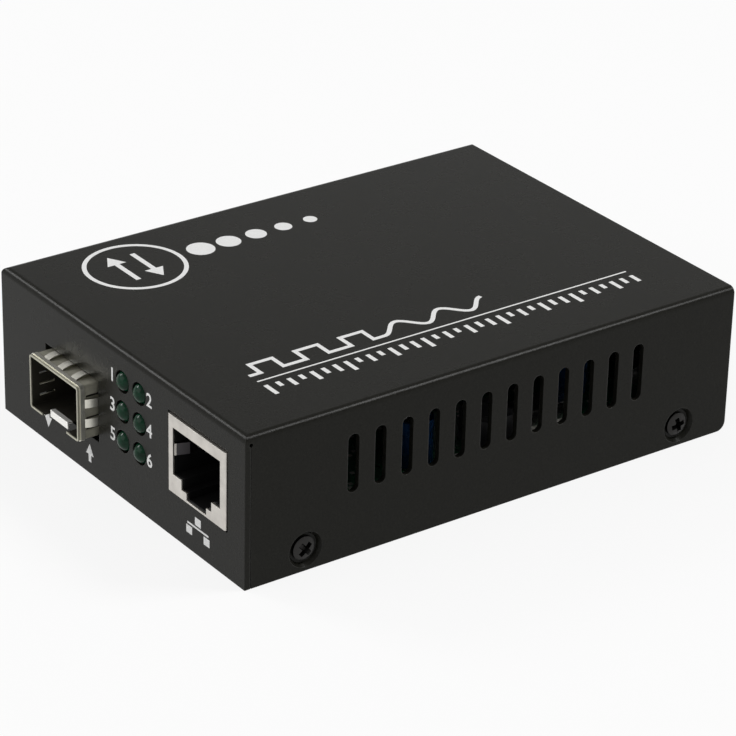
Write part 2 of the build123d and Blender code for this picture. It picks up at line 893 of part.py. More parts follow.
def make_rj45_shield():
    """Folded jack shield with the stepped opening, two grounding springs and two soldered tabs."""
    half = jack_width / 2
    shield = block((jack_x - half, jack_x + half), (jack_front, jack_rear), (jack_base, jack_top))
    shield = fillet(shield.edges().filter_by(Axis.Z).group_by(Axis.Y)[0], jack_sheet)
    inner_half = half - jack_sheet
    shield -= block(
        (jack_x - inner_half, jack_x + inner_half),
        (jack_front + jack_sheet, jack_rear - jack_sheet),
        (jack_base - beyond, jack_top - jack_sheet),
    )
    shield -= run_y(plug_outline(), jack_front - beyond, insert_front)
    tail_row = insert_rear + jack_contact_size
    shield -= block(
        (jack_x - inner_half, jack_x + inner_half),
        (tail_row, jack_rear + beyond),
        (jack_base - beyond, jack_base + jack_tail_window_height),
    )
    for x, y in jack_tab_places():
        shield += block(
            (x - jack_sheet / 2, x + jack_sheet / 2),
            (y - jack_tab_width / 2, y + jack_tab_width / 2),
            (pin_end, jack_base + jack_sheet),
        )
    spring_half = ground_spring_width / 2
    spring_front = jack_front + jack_sheet
    for side in (-1, 1):
        edge = jack_x + side * plug_width / 2
        line = [
            (edge + side * jack_sheet / 2, jack_front + jack_sheet / 2),
            (edge - side * ground_spring_bow, spring_front + ground_spring_crest),
            (edge - side * ground_spring_tip_bow, spring_front + ground_spring_length),
        ]
        spring = ribbon(line, ground_spring_sheet)
        shield += run_z(spring, ground_spring_z - spring_half, ground_spring_z + spring_half)
    return shield


def make_rj45_housing():
    """Dark moulded insert with the plug cavity, contact grooves and locating pegs."""
    half = jack_width / 2 - jack_sheet - jack_insert_gap
    body = block(
        (jack_x - half, jack_x + half),
        (insert_front, insert_rear),
        (jack_base, jack_top - jack_sheet - jack_insert_gap),
    )
    body -= run_y(plug_outline(), insert_front - beyond, plug_rear)
    spring_half = ground_spring_width / 2 + ground_spring_side_gap
    reach = plug_width / 2 + ground_spring_groove
    body -= block(
        (jack_x - reach, jack_x + reach),
        (insert_front - beyond, insert_front + ground_spring_length + ground_spring_end_gap),
        (ground_spring_z - spring_half, ground_spring_z + spring_half),
    )
    groove_half = jack_contact_size / 2 + jack_contact_side_gap
    groove_top = plug_top + jack_contact_roof_gap + jack_contact_size + jack_groove_gap
    for x, _ in jack_tail_places():
        body -= block(
            (x - groove_half, x + groove_half),
            (insert_front + jack_groove_setback, insert_rear + beyond),
            (plug_top - beyond, groove_top),
        )
    for x, y in jack_peg_places():
        body += peg(x, y, (board_top, jack_base), jack_peg_radius + jack_peg_foot)
        body += peg(x, y, (board_bottom - pin_stick_out / 2, board_top), jack_peg_radius)
    return body


def make_rj45_contacts():
    """Eight spring wires folded back into the plug cavity, with staggered tails."""
    wires = []
    height = plug_top + jack_contact_size / 2 + jack_contact_roof_gap
    fold = insert_front + jack_contact_fold
    for x, tail in jack_tail_places():
        line = [
            (fold + jack_contact_reach, plug_top - jack_contact_dip),
            (fold + jack_contact_fold_lead, plug_top - jack_contact_fold_drop),
            (fold, height),
            (tail, height),
            (tail, pin_end),
        ]
        wires.append(
            run_x(ribbon(line, jack_contact_size), x - jack_contact_size / 2, x + jack_contact_size / 2)
        )
    return group(wires)


def make_lamp(x, z):
    """Domed indicator lamp that points out of the front."""
    dome_centre = front - lamp_proud + lamp_radius
    radius = lamp_radius
    half_view = Polyline(
        (0, lamp_rear),
        (lamp_flange_radius, lamp_rear),
        (lamp_flange_radius, holder_rear),
        (radius, holder_rear),
        (radius, dome_centre),
    )
    dome = CenterArc((0, dome_centre), radius, 0, -90)
    axis_line = Line((0, dome_centre - radius), (0, lamp_rear))
    face = make_face([*half_view.edges(), dome, axis_line])
    return Pos(x, 0, z) * revolve(face, Axis.Y)


def make_lamp_holder():
    """Moulded block that lines the six lamps up behind the front."""
    top = lamp_heights[-1] + holder_roof
    half = holder_width / 2
    body = block((lamp_x - half, lamp_x + half), (holder_front, holder_rear), (board_top, top))
    body = fillet(body.edges().filter_by(Axis.Y).group_by(Axis.Z)[-1], holder_corner)
    for x in lamp_columns:
        for z in lamp_heights:
            bore = Pos(x, z) * Circle(lamp_radius + holder_bore_gap)
            body -= run_y(bore, holder_front - beyond, holder_rear + beyond)
    return body


def make_lamp_leads():
    """Square lamp leads that run back and turn down through the board."""
    half = lamp_lead_size / 2
    leads = []
    for x, y, z in lamp_lead_places():
        line = ribbon([(lamp_rear, z), (y, z), (y, pin_end)], lamp_lead_size)
        leads.append(run_x(line, x - half, x + half))
    return group(leads)


def make_dc_jack_housing():
    """Moulded power inlet with a round mouth at the back."""
    half = inlet_width / 2
    top = board_top + inlet_height
    body = block((inlet_x - half, inlet_x + half), (inlet_front, inlet_face), (board_top, top))
    body = chamfer(body.edges().filter_by(Axis.X).group_by(Axis.Z)[-1].sort_by(Axis.Y)[0], inlet_shoulder)
    bore = Pos(inlet_x, inlet_z) * Circle(inlet_bore_radius)
    body -= run_y(bore, inlet_face - inlet_bore_depth, inlet_face + beyond)
    pin_hole = Pos(inlet_x, inlet_z) * Circle(inlet_pin_radius + thread_clearance)
    body -= run_y(pin_hole, inlet_front - beyond, inlet_face)
    slot_half = inlet_tab_width / 2 + inlet_slot_gap
    body -= block(
        (inlet_x - slot_half, inlet_x + slot_half),
        (inlet_face - inlet_bore_depth, inlet_spring_tail_y() + inlet_spring_thickness),
        (board_top - beyond, inlet_z - inlet_bore_radius + inlet_slot_cut),
    )
    return body


def make_dc_jack_pin():
    """Centre pin of the power inlet, with a flat tail turned down behind the housing."""
    tail_y = inlet_pin_tail_y()
    tip = inlet_face - inlet_pin_recess
    rod = run_y(Pos(inlet_x, inlet_z) * Circle(inlet_pin_radius), tail_y, tip)
    rod = chamfer(rod.edges().group_by(Axis.Y)[-1], inlet_pin_chamfer)
    tail = block(
        (inlet_x - inlet_tab_width / 2, inlet_x + inlet_tab_width / 2),
        (tail_y - inlet_tab_thickness / 2, tail_y + inlet_tab_thickness / 2),
        (pin_end, inlet_z + inlet_pin_radius),
    )
    return rod + tail


def make_dc_jack_spring():
    """Side contact of the power inlet: a bent leaf that rises from the board."""
    tail_y = inlet_spring_tail_y()
    floor = inlet_z - inlet_bore_radius
    line = [
        (tail_y, pin_end),
        (tail_y, floor - inlet_spring_sag),
        (tail_y - inlet_spring_crest, floor + inlet_spring_rise),
        (tail_y - inlet_spring_reach, floor - inlet_spring_sag),
    ]
    half = inlet_tab_width / 2
    return run_x(ribbon(line, inlet_spring_thickness), inlet_x - half, inlet_x + half)


def gull_lead(height, width):
    """Gull-wing lead that leaves a package at the origin towards +Y and lands on the board."""
    half = lead_thickness / 2
    line = [
        (0, height),
        (lead_shoulder, height),
        (lead_reach - lead_foot_length, half),
        (lead_reach, half),
    ]
    return run_x(ribbon(line, lead_thickness), -width / 2, width / 2)


def lead_row(count, pitch, height, width, distance):
    """Row of gull-wing leads on the +Y side of a package, at a distance from its centre."""
    lead = gull_lead(height, width)
    return [Pos((index - (count - 1) / 2) * pitch, distance, 0) * lead for index in range(count)]


def lead_rows(spot, angles, row):
    """Copies of a row of leads, turned to each side of a package."""
    pieces = []
    for angle in angles:
        place = Pos(spot[0], spot[1], board_top) * Rot(0, 0, angle)
        pieces.extend(place * lead for lead in row)
    return group(pieces)


def package(spot, width, depth, height, edge):
    """Moulded package that hangs a hair above the board, with softened upper edges."""
    body = block(
        (spot[0] - width / 2, spot[0] + width / 2),
        (spot[1] - depth / 2, spot[1] + depth / 2),
        (board_top + lead_lift, board_top + height),
    )
    return chamfer(body.edges().group_by(Axis.Z)[-1], edge)


def make_transformer_leads():
    """Two rows of leads under the line transformer."""
    row = lead_row(
        transformer_leads_per_side,
        transformer_lead_pitch,
        transformer_lead_height,
        transformer_lead_width,
        transformer_depth / 2,
    )
    return lead_rows(transformer_spot, (0, 180), row)


def make_heat_sink():
    """Extruded heat sink on the converter chip."""
    x, y = chip_spot
    half = chip_side / 2 - heat_sink_inset
    base = board_top + chip_height
    profile = panel((x - half, x + half), (base, base + heat_sink_base))
    for index in range(heat_sink_fins):
        fin_left = x - half + index * (2 * half - heat_sink_fin) / (heat_sink_fins - 1)
        profile += panel((fin_left, fin_left + heat_sink_fin), (base, base + heat_sink_height))
    return run_y(profile, y - half, y + half)


def make_crystal():
    """Oval metal crystal can on the board."""
    plan = Pos(edge_row_x, crystal_offset) * Rot(0, 0, 90) * SlotOverall(crystal_length, crystal_width)
    rim = offset(plan, crystal_rim)
    can = run_z(plan, board_top, board_top + crystal_height)
    return can + run_z(rim, board_top, board_top + crystal_rim_height)


def make_memory_leads():
    """Two rows of leads on the memory chip."""
    row = lead_row(
        memory_leads_per_side, memory_lead_pitch, memory_lead_height, memory_lead_width, memory_width / 2
    )
    return lead_rows(memory_spot, (90, 270), row)


def make_power_inductor():
    """Square shielded inductor with clipped corners and a round winding window on top."""
    place = Pos(edge_row_x, inductor_offset)
    top = board_top + inductor_height
    plan = Rectangle(inductor_side, inductor_side)
    plan = chamfer(plan.vertices(), inductor_corner)
    ring = Circle(inductor_ring_outer) - Circle(inductor_ring_inner)
    body = run_z(place * plan, board_top, top)
    return body - run_z(place * ring, top - inductor_ring_depth, top + beyond)


def make_regulator_leads():
    """Three leads and the wide tab of the regulator."""
    distance = regulator_depth / 2
    leads = lead_row(
        regulator_lead_count, regulator_lead_pitch, regulator_lead_height, regulator_lead_width, distance
    )
    tab = lead_row(1, 0, regulator_lead_height, regulator_tab_width, distance)
    return group([lead_rows(regulator_spot, (0,), leads), lead_rows(regulator_spot, (180,), tab)])


def make_capacitor_cans():
    """Aluminium cans of the two capacitors, with a scored top."""
    cans = []
    radius = capacitor_radius - capacitor_sleeve
    for x, y in capacitor_spots:
        top = board_top + capacitor_height
        can = peg(x, y, (board_top, top), radius)
        score = Rectangle(capacitor_score_length, capacitor_score_width)
        score += Rectangle(capacitor_score_width, capacitor_score_length)
        cans.append(can - run_z(Pos(x, y) * score, top - capacitor_score_depth, top + beyond))
    return group(cans)


def make_capacitor_sleeves():
    """Printed plastic sleeves shrunk round the two cans."""
    sleeves = []
    inner = capacitor_radius - capacitor_sleeve
    for x, y in capacitor_spots:
        top = board_top + capacitor_height
        tube = peg(x, y, (board_top + sleeve_lift, top + capacitor_sleeve), capacitor_radius)
        tube -= peg(x, y, (board_top, top), inner)
        tube -= peg(x, y, (board_top, top + beyond), inner - sleeve_lip)
        sleeves.append(tube)
    return group(sleeves)


def make_capacitor_leads():
    """Leads of the two capacitors, through the board."""
    return group(
        [peg(x, y, (pin_end, board_top), capacitor_lead_radius) for x, y in capacitor_lead_places()]
    )


def make_chip_components():
    """Rows of small resistors and capacitors soldered flat on the board."""
    parts = []
    for x, y, count in chip_part_rows:
        for index in range(count):
            x_low = x + index * chip_part_pitch
            part = block(
                (x_low, x_low + chip_part_width),
                (y, y + chip_part_length),
                (board_top, board_top + chip_part_height),
            )
            parts.append(part)
    return group(parts)


def make_lamps():
    """The six lamps, named by where they sit on the front."""
    sides = ("left", "right")
    rows = ("bottom", "middle", "top")
    lamps = {}
    for side, x in zip(sides, lamp_columns):
        for row, z in zip(rows, lamp_heights):
            lamps[f"lamp_{side}_{row}"] = make_lamp(x, z)
    return lamps


def make_pieces():
    """Every piece of the converter, by name."""
    pieces = {
        "top_cover": make_top_cover(),
        "base_tray": make_base_tray(),
        "case_screws": make_case_screws(),
        "board_standoffs": make_board_standoffs(),
        "board_screws": make_board_screws(),
        "main_board": make_main_board(),
        "sfp_cage": make_sfp_cage(),
        "sfp_emi_fingers": make_sfp_emi_fingers(),
        "sfp_host_connector": make_sfp_host_connector(),
        "sfp_host_contacts": make_sfp_host_contacts(),
        "rj45_shield": make_rj45_shield(),
        "rj45_housing": make_rj45_housing(),
        "rj45_contacts": make_rj45_contacts(),
        "lamp_holder": make_lamp_holder(),
        "lamp_leads": make_lamp_leads(),
        "dc_jack_housing": make_dc_jack_housing(),
        "dc_jack_pin": make_dc_jack_pin(),
        "dc_jack_spring": make_dc_jack_spring(),
        "line_transformer": package(
            transformer_spot, transformer_width, transformer_depth, transformer_height, transformer_edge
        ),
        "line_transformer_leads": make_transformer_leads(),
        "converter_chip": package(chip_spot, chip_side, chip_side, chip_height, package_edge),
        "heat_sink": make_heat_sink(),
        "crystal": make_crystal(),
        "memory_chip": package(memory_spot, memory_width, memory_length, memory_height, package_edge),
        "memory_chip_leads": make_memory_leads(),
        "power_inductor": make_power_inductor(),
        "regulator": package(
            regulator_spot, regulator_width, regulator_depth, regulator_height, package_edge
        ),
        "regulator_leads": make_regulator_leads(),
        "capacitor_cans": make_capacitor_cans(),
        "capacitor_sleeves": make_capacitor_sleeves(),
        "capacitor_leads": make_capacitor_leads(),
        "chip_components": make_chip_components(),
    }
    pieces.update(make_lamps())
    return pieces


os.makedirs("parts", exist_ok=True)
for name, piece in make_pieces().items():
    export_step(piece, f"parts/{name}.step")
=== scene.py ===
"""Dresses the packed fibre media converter: finishes, printed marks, fine screws, studio and camera.

Metres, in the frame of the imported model: X across the front, Y from front to back, Z up.
"""

import math

import bmesh
import bpy
from bpy.props import FloatProperty, FloatVectorProperty, IntProperty, PointerProperty
from mathutils import Matrix, Vector


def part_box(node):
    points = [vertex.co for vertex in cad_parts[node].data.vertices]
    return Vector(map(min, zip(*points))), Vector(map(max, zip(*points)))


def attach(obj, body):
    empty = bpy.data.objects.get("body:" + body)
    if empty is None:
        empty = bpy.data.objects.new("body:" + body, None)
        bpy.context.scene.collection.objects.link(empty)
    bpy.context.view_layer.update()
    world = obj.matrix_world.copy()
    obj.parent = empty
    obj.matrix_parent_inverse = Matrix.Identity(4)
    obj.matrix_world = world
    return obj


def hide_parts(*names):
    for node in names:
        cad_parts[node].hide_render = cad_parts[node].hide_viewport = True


bl_info = {
    "name": "Fibre Media Converter",
    "version": (1, 0, 0),
    "blender": (4, 5, 0),
    "location": "3D View > Sidebar > Converter",
    "description": "Finishes, printed marks, screws and studio for a packed fibre media converter",
    "category": "Object",
}

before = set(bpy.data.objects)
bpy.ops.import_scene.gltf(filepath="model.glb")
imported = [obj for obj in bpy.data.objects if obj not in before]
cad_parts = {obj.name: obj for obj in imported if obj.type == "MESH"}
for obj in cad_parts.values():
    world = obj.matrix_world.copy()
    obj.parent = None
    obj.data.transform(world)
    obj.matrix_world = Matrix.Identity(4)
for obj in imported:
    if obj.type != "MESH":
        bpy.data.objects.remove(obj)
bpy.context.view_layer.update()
case_low, case_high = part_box("top_cover")

MM = 0.001
BODY = "root"
WELD = 1e-7
DOT_SIDES = 28
RING_SIDES = 72


# Settings that a user would change


def length(name, description, millimetres):
    """Length property with its default in millimetres."""
    return FloatProperty(
        name=name,
        description=description,
        default=millimetres * MM,
        precision=5,
        subtype="DISTANCE",
        unit="LENGTH",
    )


def colour(name, description, value):
    """Linear colour property."""
    return FloatVectorProperty(
        name=name, description=description, default=value, size=3, min=0, max=1, subtype="COLOR"
    )


def share(name, description, value):
    """Property between nothing and all."""
    return FloatProperty(
        name=name, description=description, default=value, min=0, max=1, subtype="FACTOR"
    )


def turned(name, description, degrees):
    """Angle property with its default in degrees."""
    return FloatProperty(
        name=name,
        description=description,
        default=math.radians(degrees),
        subtype="ANGLE",
        unit="ROTATION",
    )


def place(name, description, value):
    """Point in space, in metres."""
    return FloatVectorProperty(
        name=name, description=description, default=value, size=3, subtype="TRANSLATION", unit="LENGTH"
    )


class PaintSettings(bpy.types.PropertyGroup):
    """Powder coat on the folded case."""

    dark: colour("Dark", "Coat in the hollows of its grain", (0.0078, 0.0077, 0.006))
    light: colour("Light", "Coat on the tops of its grain", (0.0132, 0.013, 0.0104))
    # Edge: lighter colour drawn along the coat's sharp edges, a painted highlight.
    edge: colour("Edge", "Coat where it thins over an edge", (0.05, 0.049, 0.046))
    grain: length("Grain", "Size of one grain of the coat", 0.3)
    grain_height: length("Grain height", "Height of the grain", 0.014)
    edge_radius: length("Edge radius", "Rounding that the coat gives a cut edge", 0.2)
    roughness: share("Roughness", "Roughness of the coat", 0.27)
    gloss: share("Gloss", "Strength of the coat's reflection", 0.09)


class MetalSettings(bpy.types.PropertyGroup):
    """Colours of the bare metals."""

    cage: colour("Cage", "Nickel-plated cage", (0.5, 0.485, 0.395))
    # Cage inside: the inside of the cage drawn dark, painted shade.
    cage_inside: colour("Cage inside", "Dull inside of the cage", (0.05, 0.046, 0.036))
    # Latch tab: the lip drawn near white, a painted highlight standing for the light it reflects.
    tab: colour("Latch tab", "Bright lip of the cage's latch tab", (0.97, 0.96, 0.92))
    finger: colour("Fingers", "Spring fingers round the cage", (0.72, 0.705, 0.63))
    shield: colour("Jack shield", "Tin-plated jack shield", (0.67, 0.64, 0.595))
    # Jack springs: the inside of the jack shield, springs included, drawn dark as painted shade.
    spring: colour("Jack springs", "Dull springs inside the jack shield", (0.09, 0.085, 0.09))
    zinc: colour("Zinc", "Standoffs and board screws", (0.6, 0.6, 0.57))
    tin: colour("Tin", "Leads", (0.66, 0.65, 0.62))
    gold: colour("Gold", "Gold-flashed contacts", (0.83, 0.58, 0.22))
    aluminium: colour("Aluminium", "Heat sink and capacitor cans", (0.72, 0.72, 0.73))
    screw: colour("Screws", "Blackened case screws", (0.034, 0.033, 0.032))
    line: length("Line", "Width of one rolling line in the sheet", 0.05)
    edge_radius: length("Edge radius", "Rounding of a stamped edge", 0.04)


class PlasticSettings(bpy.types.PropertyGroup):
    """Colours of the plastics, the board and the parts on it."""

    black: colour("Black", "Moulded black plastic", (0.005, 0.005, 0.0053))
    package: colour("Package", "Moulded chip packages", (0.018, 0.018, 0.019))
    lamp_dark: colour("Lamp", "Green lamp, seen deep", (0.0008, 0.015, 0.006))
    lamp_light: colour("Lamp haze", "Green lamp, where it is cloudy", (0.003, 0.043, 0.019))
    board: colour("Board", "Solder mask", (0.003, 0.04, 0.015))
    track: colour("Track", "Solder mask over copper", (0.008, 0.085, 0.033))
    pad: colour("Pad", "Tinned pads and rings", (0.35, 0.34, 0.32))
    sleeve: colour("Sleeve", "Blue capacitor sleeve", (0.009, 0.06, 0.18))
    ferrite: colour("Ferrite", "Pressed ferrite", (0.05, 0.05, 0.052))
    ceramic: colour("Ceramic", "Small chip parts", (0.4, 0.31, 0.2))
    grain: length("Grain", "Size of the moulded texture", 0.12)


class ScrewSettings(bpy.types.PropertyGroup):
    """Cross-head case screws."""

    head_height: length("Head height", "Height of the head", 0.9)
    head_dome: length("Head dome", "Rise of the head's top", 0.42)
    length: length("Length", "Length under the head", 4.4)
    thread_radius: length("Thread radius", "Outer radius of the thread", 1.45)
    thread_depth: length("Thread depth", "Depth of the thread", 0.22)
    thread_pitch: length("Thread pitch", "Rise of the thread in one turn", 0.5)
    arm: length("Cross arm", "Half length of the cross at its mouth", 1.26)
    arm_width: length("Cross width", "Width of the cross at its mouth", 0.84)
    cross_depth: length("Cross depth", "Depth of the cross", 1.1)
    front_turn: turned("Front turn", "How far the front screws are turned", 43)
    rear_turn: turned("Rear turn", "How far the rear screws are turned", 14)
    sides: IntProperty(name="Sides", description="Facets round the head", default=48, min=24, max=96)


class PrintSettings(bpy.types.PropertyGroup):
    """White printed marks on the case."""

    ink: colour("Ink", "Screen-printed white", (0.84, 0.84, 0.83))
    thickness: length("Thickness", "Thickness of the ink", 0.02)
    fine: length("Fine line", "Width of a thin line", 0.32)
    bold: length("Bold line", "Width of a thick line", 0.75)
    numeral: length("Numeral height", "Height of the lamp numerals", 2.3)


class StudioSettings(bpy.types.PropertyGroup):
    """Camera, lamps, floor and surroundings."""

    camera_place: place("Camera", "Where the camera stands", (0.39593, -0.28948, 0.25611))
    camera_aim: place("Aim", "What the camera looks at", (-0.00278, 0.00253, 0.00743))
    camera_roll: turned("Roll", "Tilt of the camera about its view", 1.37)
    focal_length: FloatProperty(name="Focal length", description="Lens in millimetres", default=165.74)
    front_power: FloatProperty(name="Front", description="Watts of the large front lamp", default=2.0)
    left_power: FloatProperty(name="Left", description="Watts of the high lamp on the left", default=3.0)
    back_power: FloatProperty(name="Back", description="Watts of the high lamp behind", default=5.0)
    world_light: share("Surroundings", "Strength of the surrounding light", 0.32)
    ceiling: share("Ceiling", "Whiteness of the surroundings overhead", 0.46)
    floor: colour("Floor", "Pale floor", (0.86, 0.86, 0.86))
    floor_white: share("Floor white", "How far the floor is seen as plain white", 0.85)


SETTINGS = {
    "converter_paint": PaintSettings,
    "converter_metal": MetalSettings,
    "converter_plastic": PlasticSettings,
    "converter_screw": ScrewSettings,
    "converter_print": PrintSettings,
    "converter_studio": StudioSettings,
}


# Shader building


def add_node(tree, kind, **settings):
    """New shader node, with plain attributes set by name and sockets by their label."""
    node = tree.nodes.new("ShaderNode" + kind)
    for name, value in settings.items():
        if hasattr(node, name):
            setattr(node, name, value)
        else:
            node.inputs[name.replace("_", " ").title()].default_value = value
    return node


def wire(tree, output, *inputs):
    """Join one output to each input."""
    for socket in inputs:
        tree.links.new(output, socket)


def opaque(value):
    """Colour with full alpha."""
    return (*value, 1.0)


def shader_group(name, inputs, outputs):
    """Empty node group with named sockets, and its two end nodes."""
    tree = bpy.data.node_groups.new(name, "ShaderNodeTree")
    for label, kind in inputs:
        tree.interface.new_socket(label, in_out="INPUT", socket_type="NodeSocket" + kind)
    for label, kind in outputs:
        tree.interface.new_socket(label, in_out="OUTPUT", socket_type="NodeSocket" + kind)
    start = tree.nodes.new("NodeGroupInput")
    end = tree.nodes.new("NodeGroupOutput")
    return tree, start, end


def build_grain_group():
    """Orange-peel grain: a height, and a value that follows the same bumps."""
    tree, start, end = shader_group(
        "Grain", [("Place", "Vector"), ("Size", "Float")], [("Height", "Float"), ("Shade", "Float")]
    )
    scale = add_node(tree, "Math", operation="DIVIDE")
    scale.inputs[0].default_value = 1.0
    coarse = add_node(tree, "TexNoise", Detail=2.0, Roughness=0.55)
    fine = add_node(tree, "TexVoronoi", feature="SMOOTH_F1")
    fine.inputs["Smoothness"].default_value = 0.6
    blend = add_node(tree, "Math", operation="MULTIPLY_ADD")
    blend.inputs[1].default_value = 0.45
    shade = add_node(tree, "MapRange")
    shade.inputs["From Min"].default_value = 0.4
    shade.inputs["From Max"].default_value = 0.95
    wire(tree, start.outputs["Size"], scale.inputs[1])
    wire(tree, start.outputs["Place"], coarse.inputs["Vector"], fine.inputs["Vector"])
    wire(tree, scale.outputs[0], coarse.inputs["Scale"], fine.inputs["Scale"])
    wire(tree, fine.outputs["Distance"], blend.inputs[0])
    wire(tree, coarse.outputs[0], blend.inputs[2])
    wire(tree, blend.outputs[0], end.inputs["Height"], shade.inputs["Value"])
    wire(tree, shade.outputs["Result"], end.inputs["Shade"])
    return tree


def build_blotch_group():
    """Slow change over the surface, between a low and a high value."""
    tree, start, end = shader_group(
        "Blotches",
        [("Place", "Vector"), ("Size", "Float"), ("Low", "Float"), ("High", "Float")],
        [("Value", "Float")],
    )
    scale = add_node(tree, "Math", operation="DIVIDE")
    scale.inputs[0].default_value = 1.0
    cloud = add_node(tree, "TexNoise", Detail=3.0, Roughness=0.6)
    spread = add_node(tree, "MapRange")
    spread.inputs["From Min"].default_value = 0.3
    spread.inputs["From Max"].default_value = 0.7
    wire(tree, start.outputs["Size"], scale.inputs[1])
    wire(tree, start.outputs["Place"], cloud.inputs["Vector"])
    wire(tree, scale.outputs[0], cloud.inputs["Scale"])
    wire(tree, cloud.outputs[0], spread.inputs["Value"])
    wire(tree, start.outputs["Low"], spread.inputs["To Min"])
    wire(tree, start.outputs["High"], spread.inputs["To Max"])
    wire(tree, spread.outputs["Result"], end.inputs["Value"])
    return tree


def build_rolled_group():
    """Fine parallel lines of rolled or drawn sheet: a height, and a value for shade and roughness."""
    tree, start, end = shader_group(
        "Rolled Lines",
        [("Place", "Vector"), ("Size", "Float"), ("Low", "Float"), ("High", "Float")],
        [("Height", "Float"), ("Value", "Float")],
    )
    scale = add_node(tree, "Math", operation="DIVIDE")
    scale.inputs[0].default_value = 1.0
    stretch = add_node(tree, "VectorMath", operation="MULTIPLY")
    stretch.inputs[1].default_value = (1.0, 0.04, 1.0)
    lines = add_node(tree, "TexNoise", Detail=2.0, Roughness=0.7)
    spread = add_node(tree, "MapRange")
    spread.inputs["From Min"].default_value = 0.25
    spread.inputs["From Max"].default_value = 0.75
    wire(tree, start.outputs["Size"], scale.inputs[1])
    wire(tree, start.outputs["Place"], stretch.inputs[0])
    wire(tree, stretch.outputs[0], lines.inputs["Vector"])
    wire(tree, scale.outputs[0], lines.inputs["Scale"])
    wire(tree, lines.outputs[0], end.inputs["Height"], spread.inputs["Value"])
    wire(tree, start.outputs["Low"], spread.inputs["To Min"])
    wire(tree, start.outputs["High"], spread.inputs["To Max"])
    wire(tree, spread.outputs["Result"], end.inputs["Value"])
    return tree


def build_edge_group():
    """Mask of the sharp edges, and a normal that rounds them."""
    tree, start, end = shader_group(
        "Edges", [("Radius", "Float")], [("Mask", "Float"), ("Normal", "Vector")]
    )
    rounded = add_node(tree, "Bevel", samples=6)
    flat = add_node(tree, "NewGeometry")
    closeness = add_node(tree, "VectorMath", operation="DOT_PRODUCT")
    mask = add_node(tree, "MapRange")
    mask.inputs["From Min"].default_value = 0.995
    mask.inputs["From Max"].default_value = 0.8
    wire(tree, start.outputs["Radius"], rounded.inputs["Radius"])
    wire(tree, rounded.outputs["Normal"], closeness.inputs[0], end.inputs["Normal"])
    wire(tree, flat.outputs["Normal"], closeness.inputs[1])
    wire(tree, closeness.outputs["Value"], mask.inputs["Value"])
    wire(tree, mask.outputs["Result"], end.inputs["Mask"])
    return tree


def build_patch_group():
    """Mask of a box-shaped region, given its middle and its reach from there on each axis."""
    tree, start, end = shader_group(
        "Patch", [("Place", "Vector"), ("Middle", "Vector"), ("Reach", "Vector")], [("Mask", "Float")]
    )
    away = add_node(tree, "VectorMath", operation="SUBTRACT")
    share_out = add_node(tree, "VectorMath", operation="DIVIDE")
    size = add_node(tree, "VectorMath", operation="ABSOLUTE")
    axes = add_node(tree, "SeparateXYZ")
    wider = add_node(tree, "Math", operation="MAXIMUM")
    widest = add_node(tree, "Math", operation="MAXIMUM")
    inside = add_node(tree, "Math", operation="LESS_THAN")
    inside.inputs[1].default_value = 1.0
    wire(tree, start.outputs["Place"], away.inputs[0])
    wire(tree, start.outputs["Middle"], away.inputs[1])
    wire(tree, away.outputs[0], share_out.inputs[0])
    wire(tree, start.outputs["Reach"], share_out.inputs[1])
    wire(tree, share_out.outputs[0], size.inputs[0])
    wire(tree, size.outputs[0], axes.inputs[0])
    wire(tree, axes.outputs["X"], wider.inputs[0])
    wire(tree, axes.outputs["Y"], wider.inputs[1])
    wire(tree, wider.outputs[0], widest.inputs[0])
    wire(tree, axes.outputs["Z"], widest.inputs[1])
    wire(tree, widest.outputs[0], inside.inputs[0])
    wire(tree, inside.outputs[0], end.inputs["Mask"])
    return tree


GROUP_BUILDERS = {
    "Patch": build_patch_group,
    "Grain": build_grain_group,
    "Blotches": build_blotch_group,
    "Rolled Lines": build_rolled_group,
    "Edges": build_edge_group,
}


def use_group(tree, name, **values):
    """Place a shared group in a material, and build it first if it isn't there yet."""
    node = tree.nodes.new("ShaderNodeGroup")
    node.node_tree = bpy.data.node_groups.get(name) or GROUP_BUILDERS[name]()
    for label, value in values.items():
        node.inputs[label].default_value = value
    return node


class Finish:
    """A material in the making: its tree, its shader and the object's own coordinates."""

    def __init__(self, name):
        self.material = bpy.data.materials.new(name)
        self.material.use_nodes = True
        self.tree = self.material.node_tree
        self.shader = self.tree.nodes["Principled BSDF"]
        self.coords = add_node(self.tree, "TexCoord").outputs["Object"]

    def fixed(self, **values):
        """Set the shader's own sockets to what is the same all over."""
        for label, value in values.items():
            self.shader.inputs[label.replace("_", " ")].default_value = value
        return self

    def placed(self, name, **values):
        """Shared group that reads the object's coordinates."""
        node = use_group(self.tree, name, **values)
        if "Place" in node.inputs:
            wire(self.tree, self.coords, node.inputs["Place"])
        return node

    def mix(self, factor, low, high):
        """Colour between two, which may be colours or outputs."""
        node = add_node(self.tree, "Mix", data_type="RGBA")
        wire(self.tree, factor, node.inputs[0])
        for socket, value in ((node.inputs[6], low), (node.inputs[7], high)):
            if isinstance(value, bpy.types.NodeSocket):
                wire(self.tree, value, socket)
            else:
                socket.default_value = opaque(value)
        return node.outputs[2]

    def bump(self, height, distance, normal=None):
        """Raise the surface by a height, and use it as the shader's normal."""
        node = add_node(self.tree, "Bump", Strength=1.0, Distance=distance)
        wire(self.tree, height, node.inputs["Height"])
        if normal:
            wire(self.tree, normal, node.inputs["Normal"])
        wire(self.tree, node.outputs["Normal"], self.shader.inputs["Normal"])
        return self

    def feed(self, output, label):
        """Join an output to one of the shader's sockets."""
        wire(self.tree, output, self.shader.inputs[label])
        return self


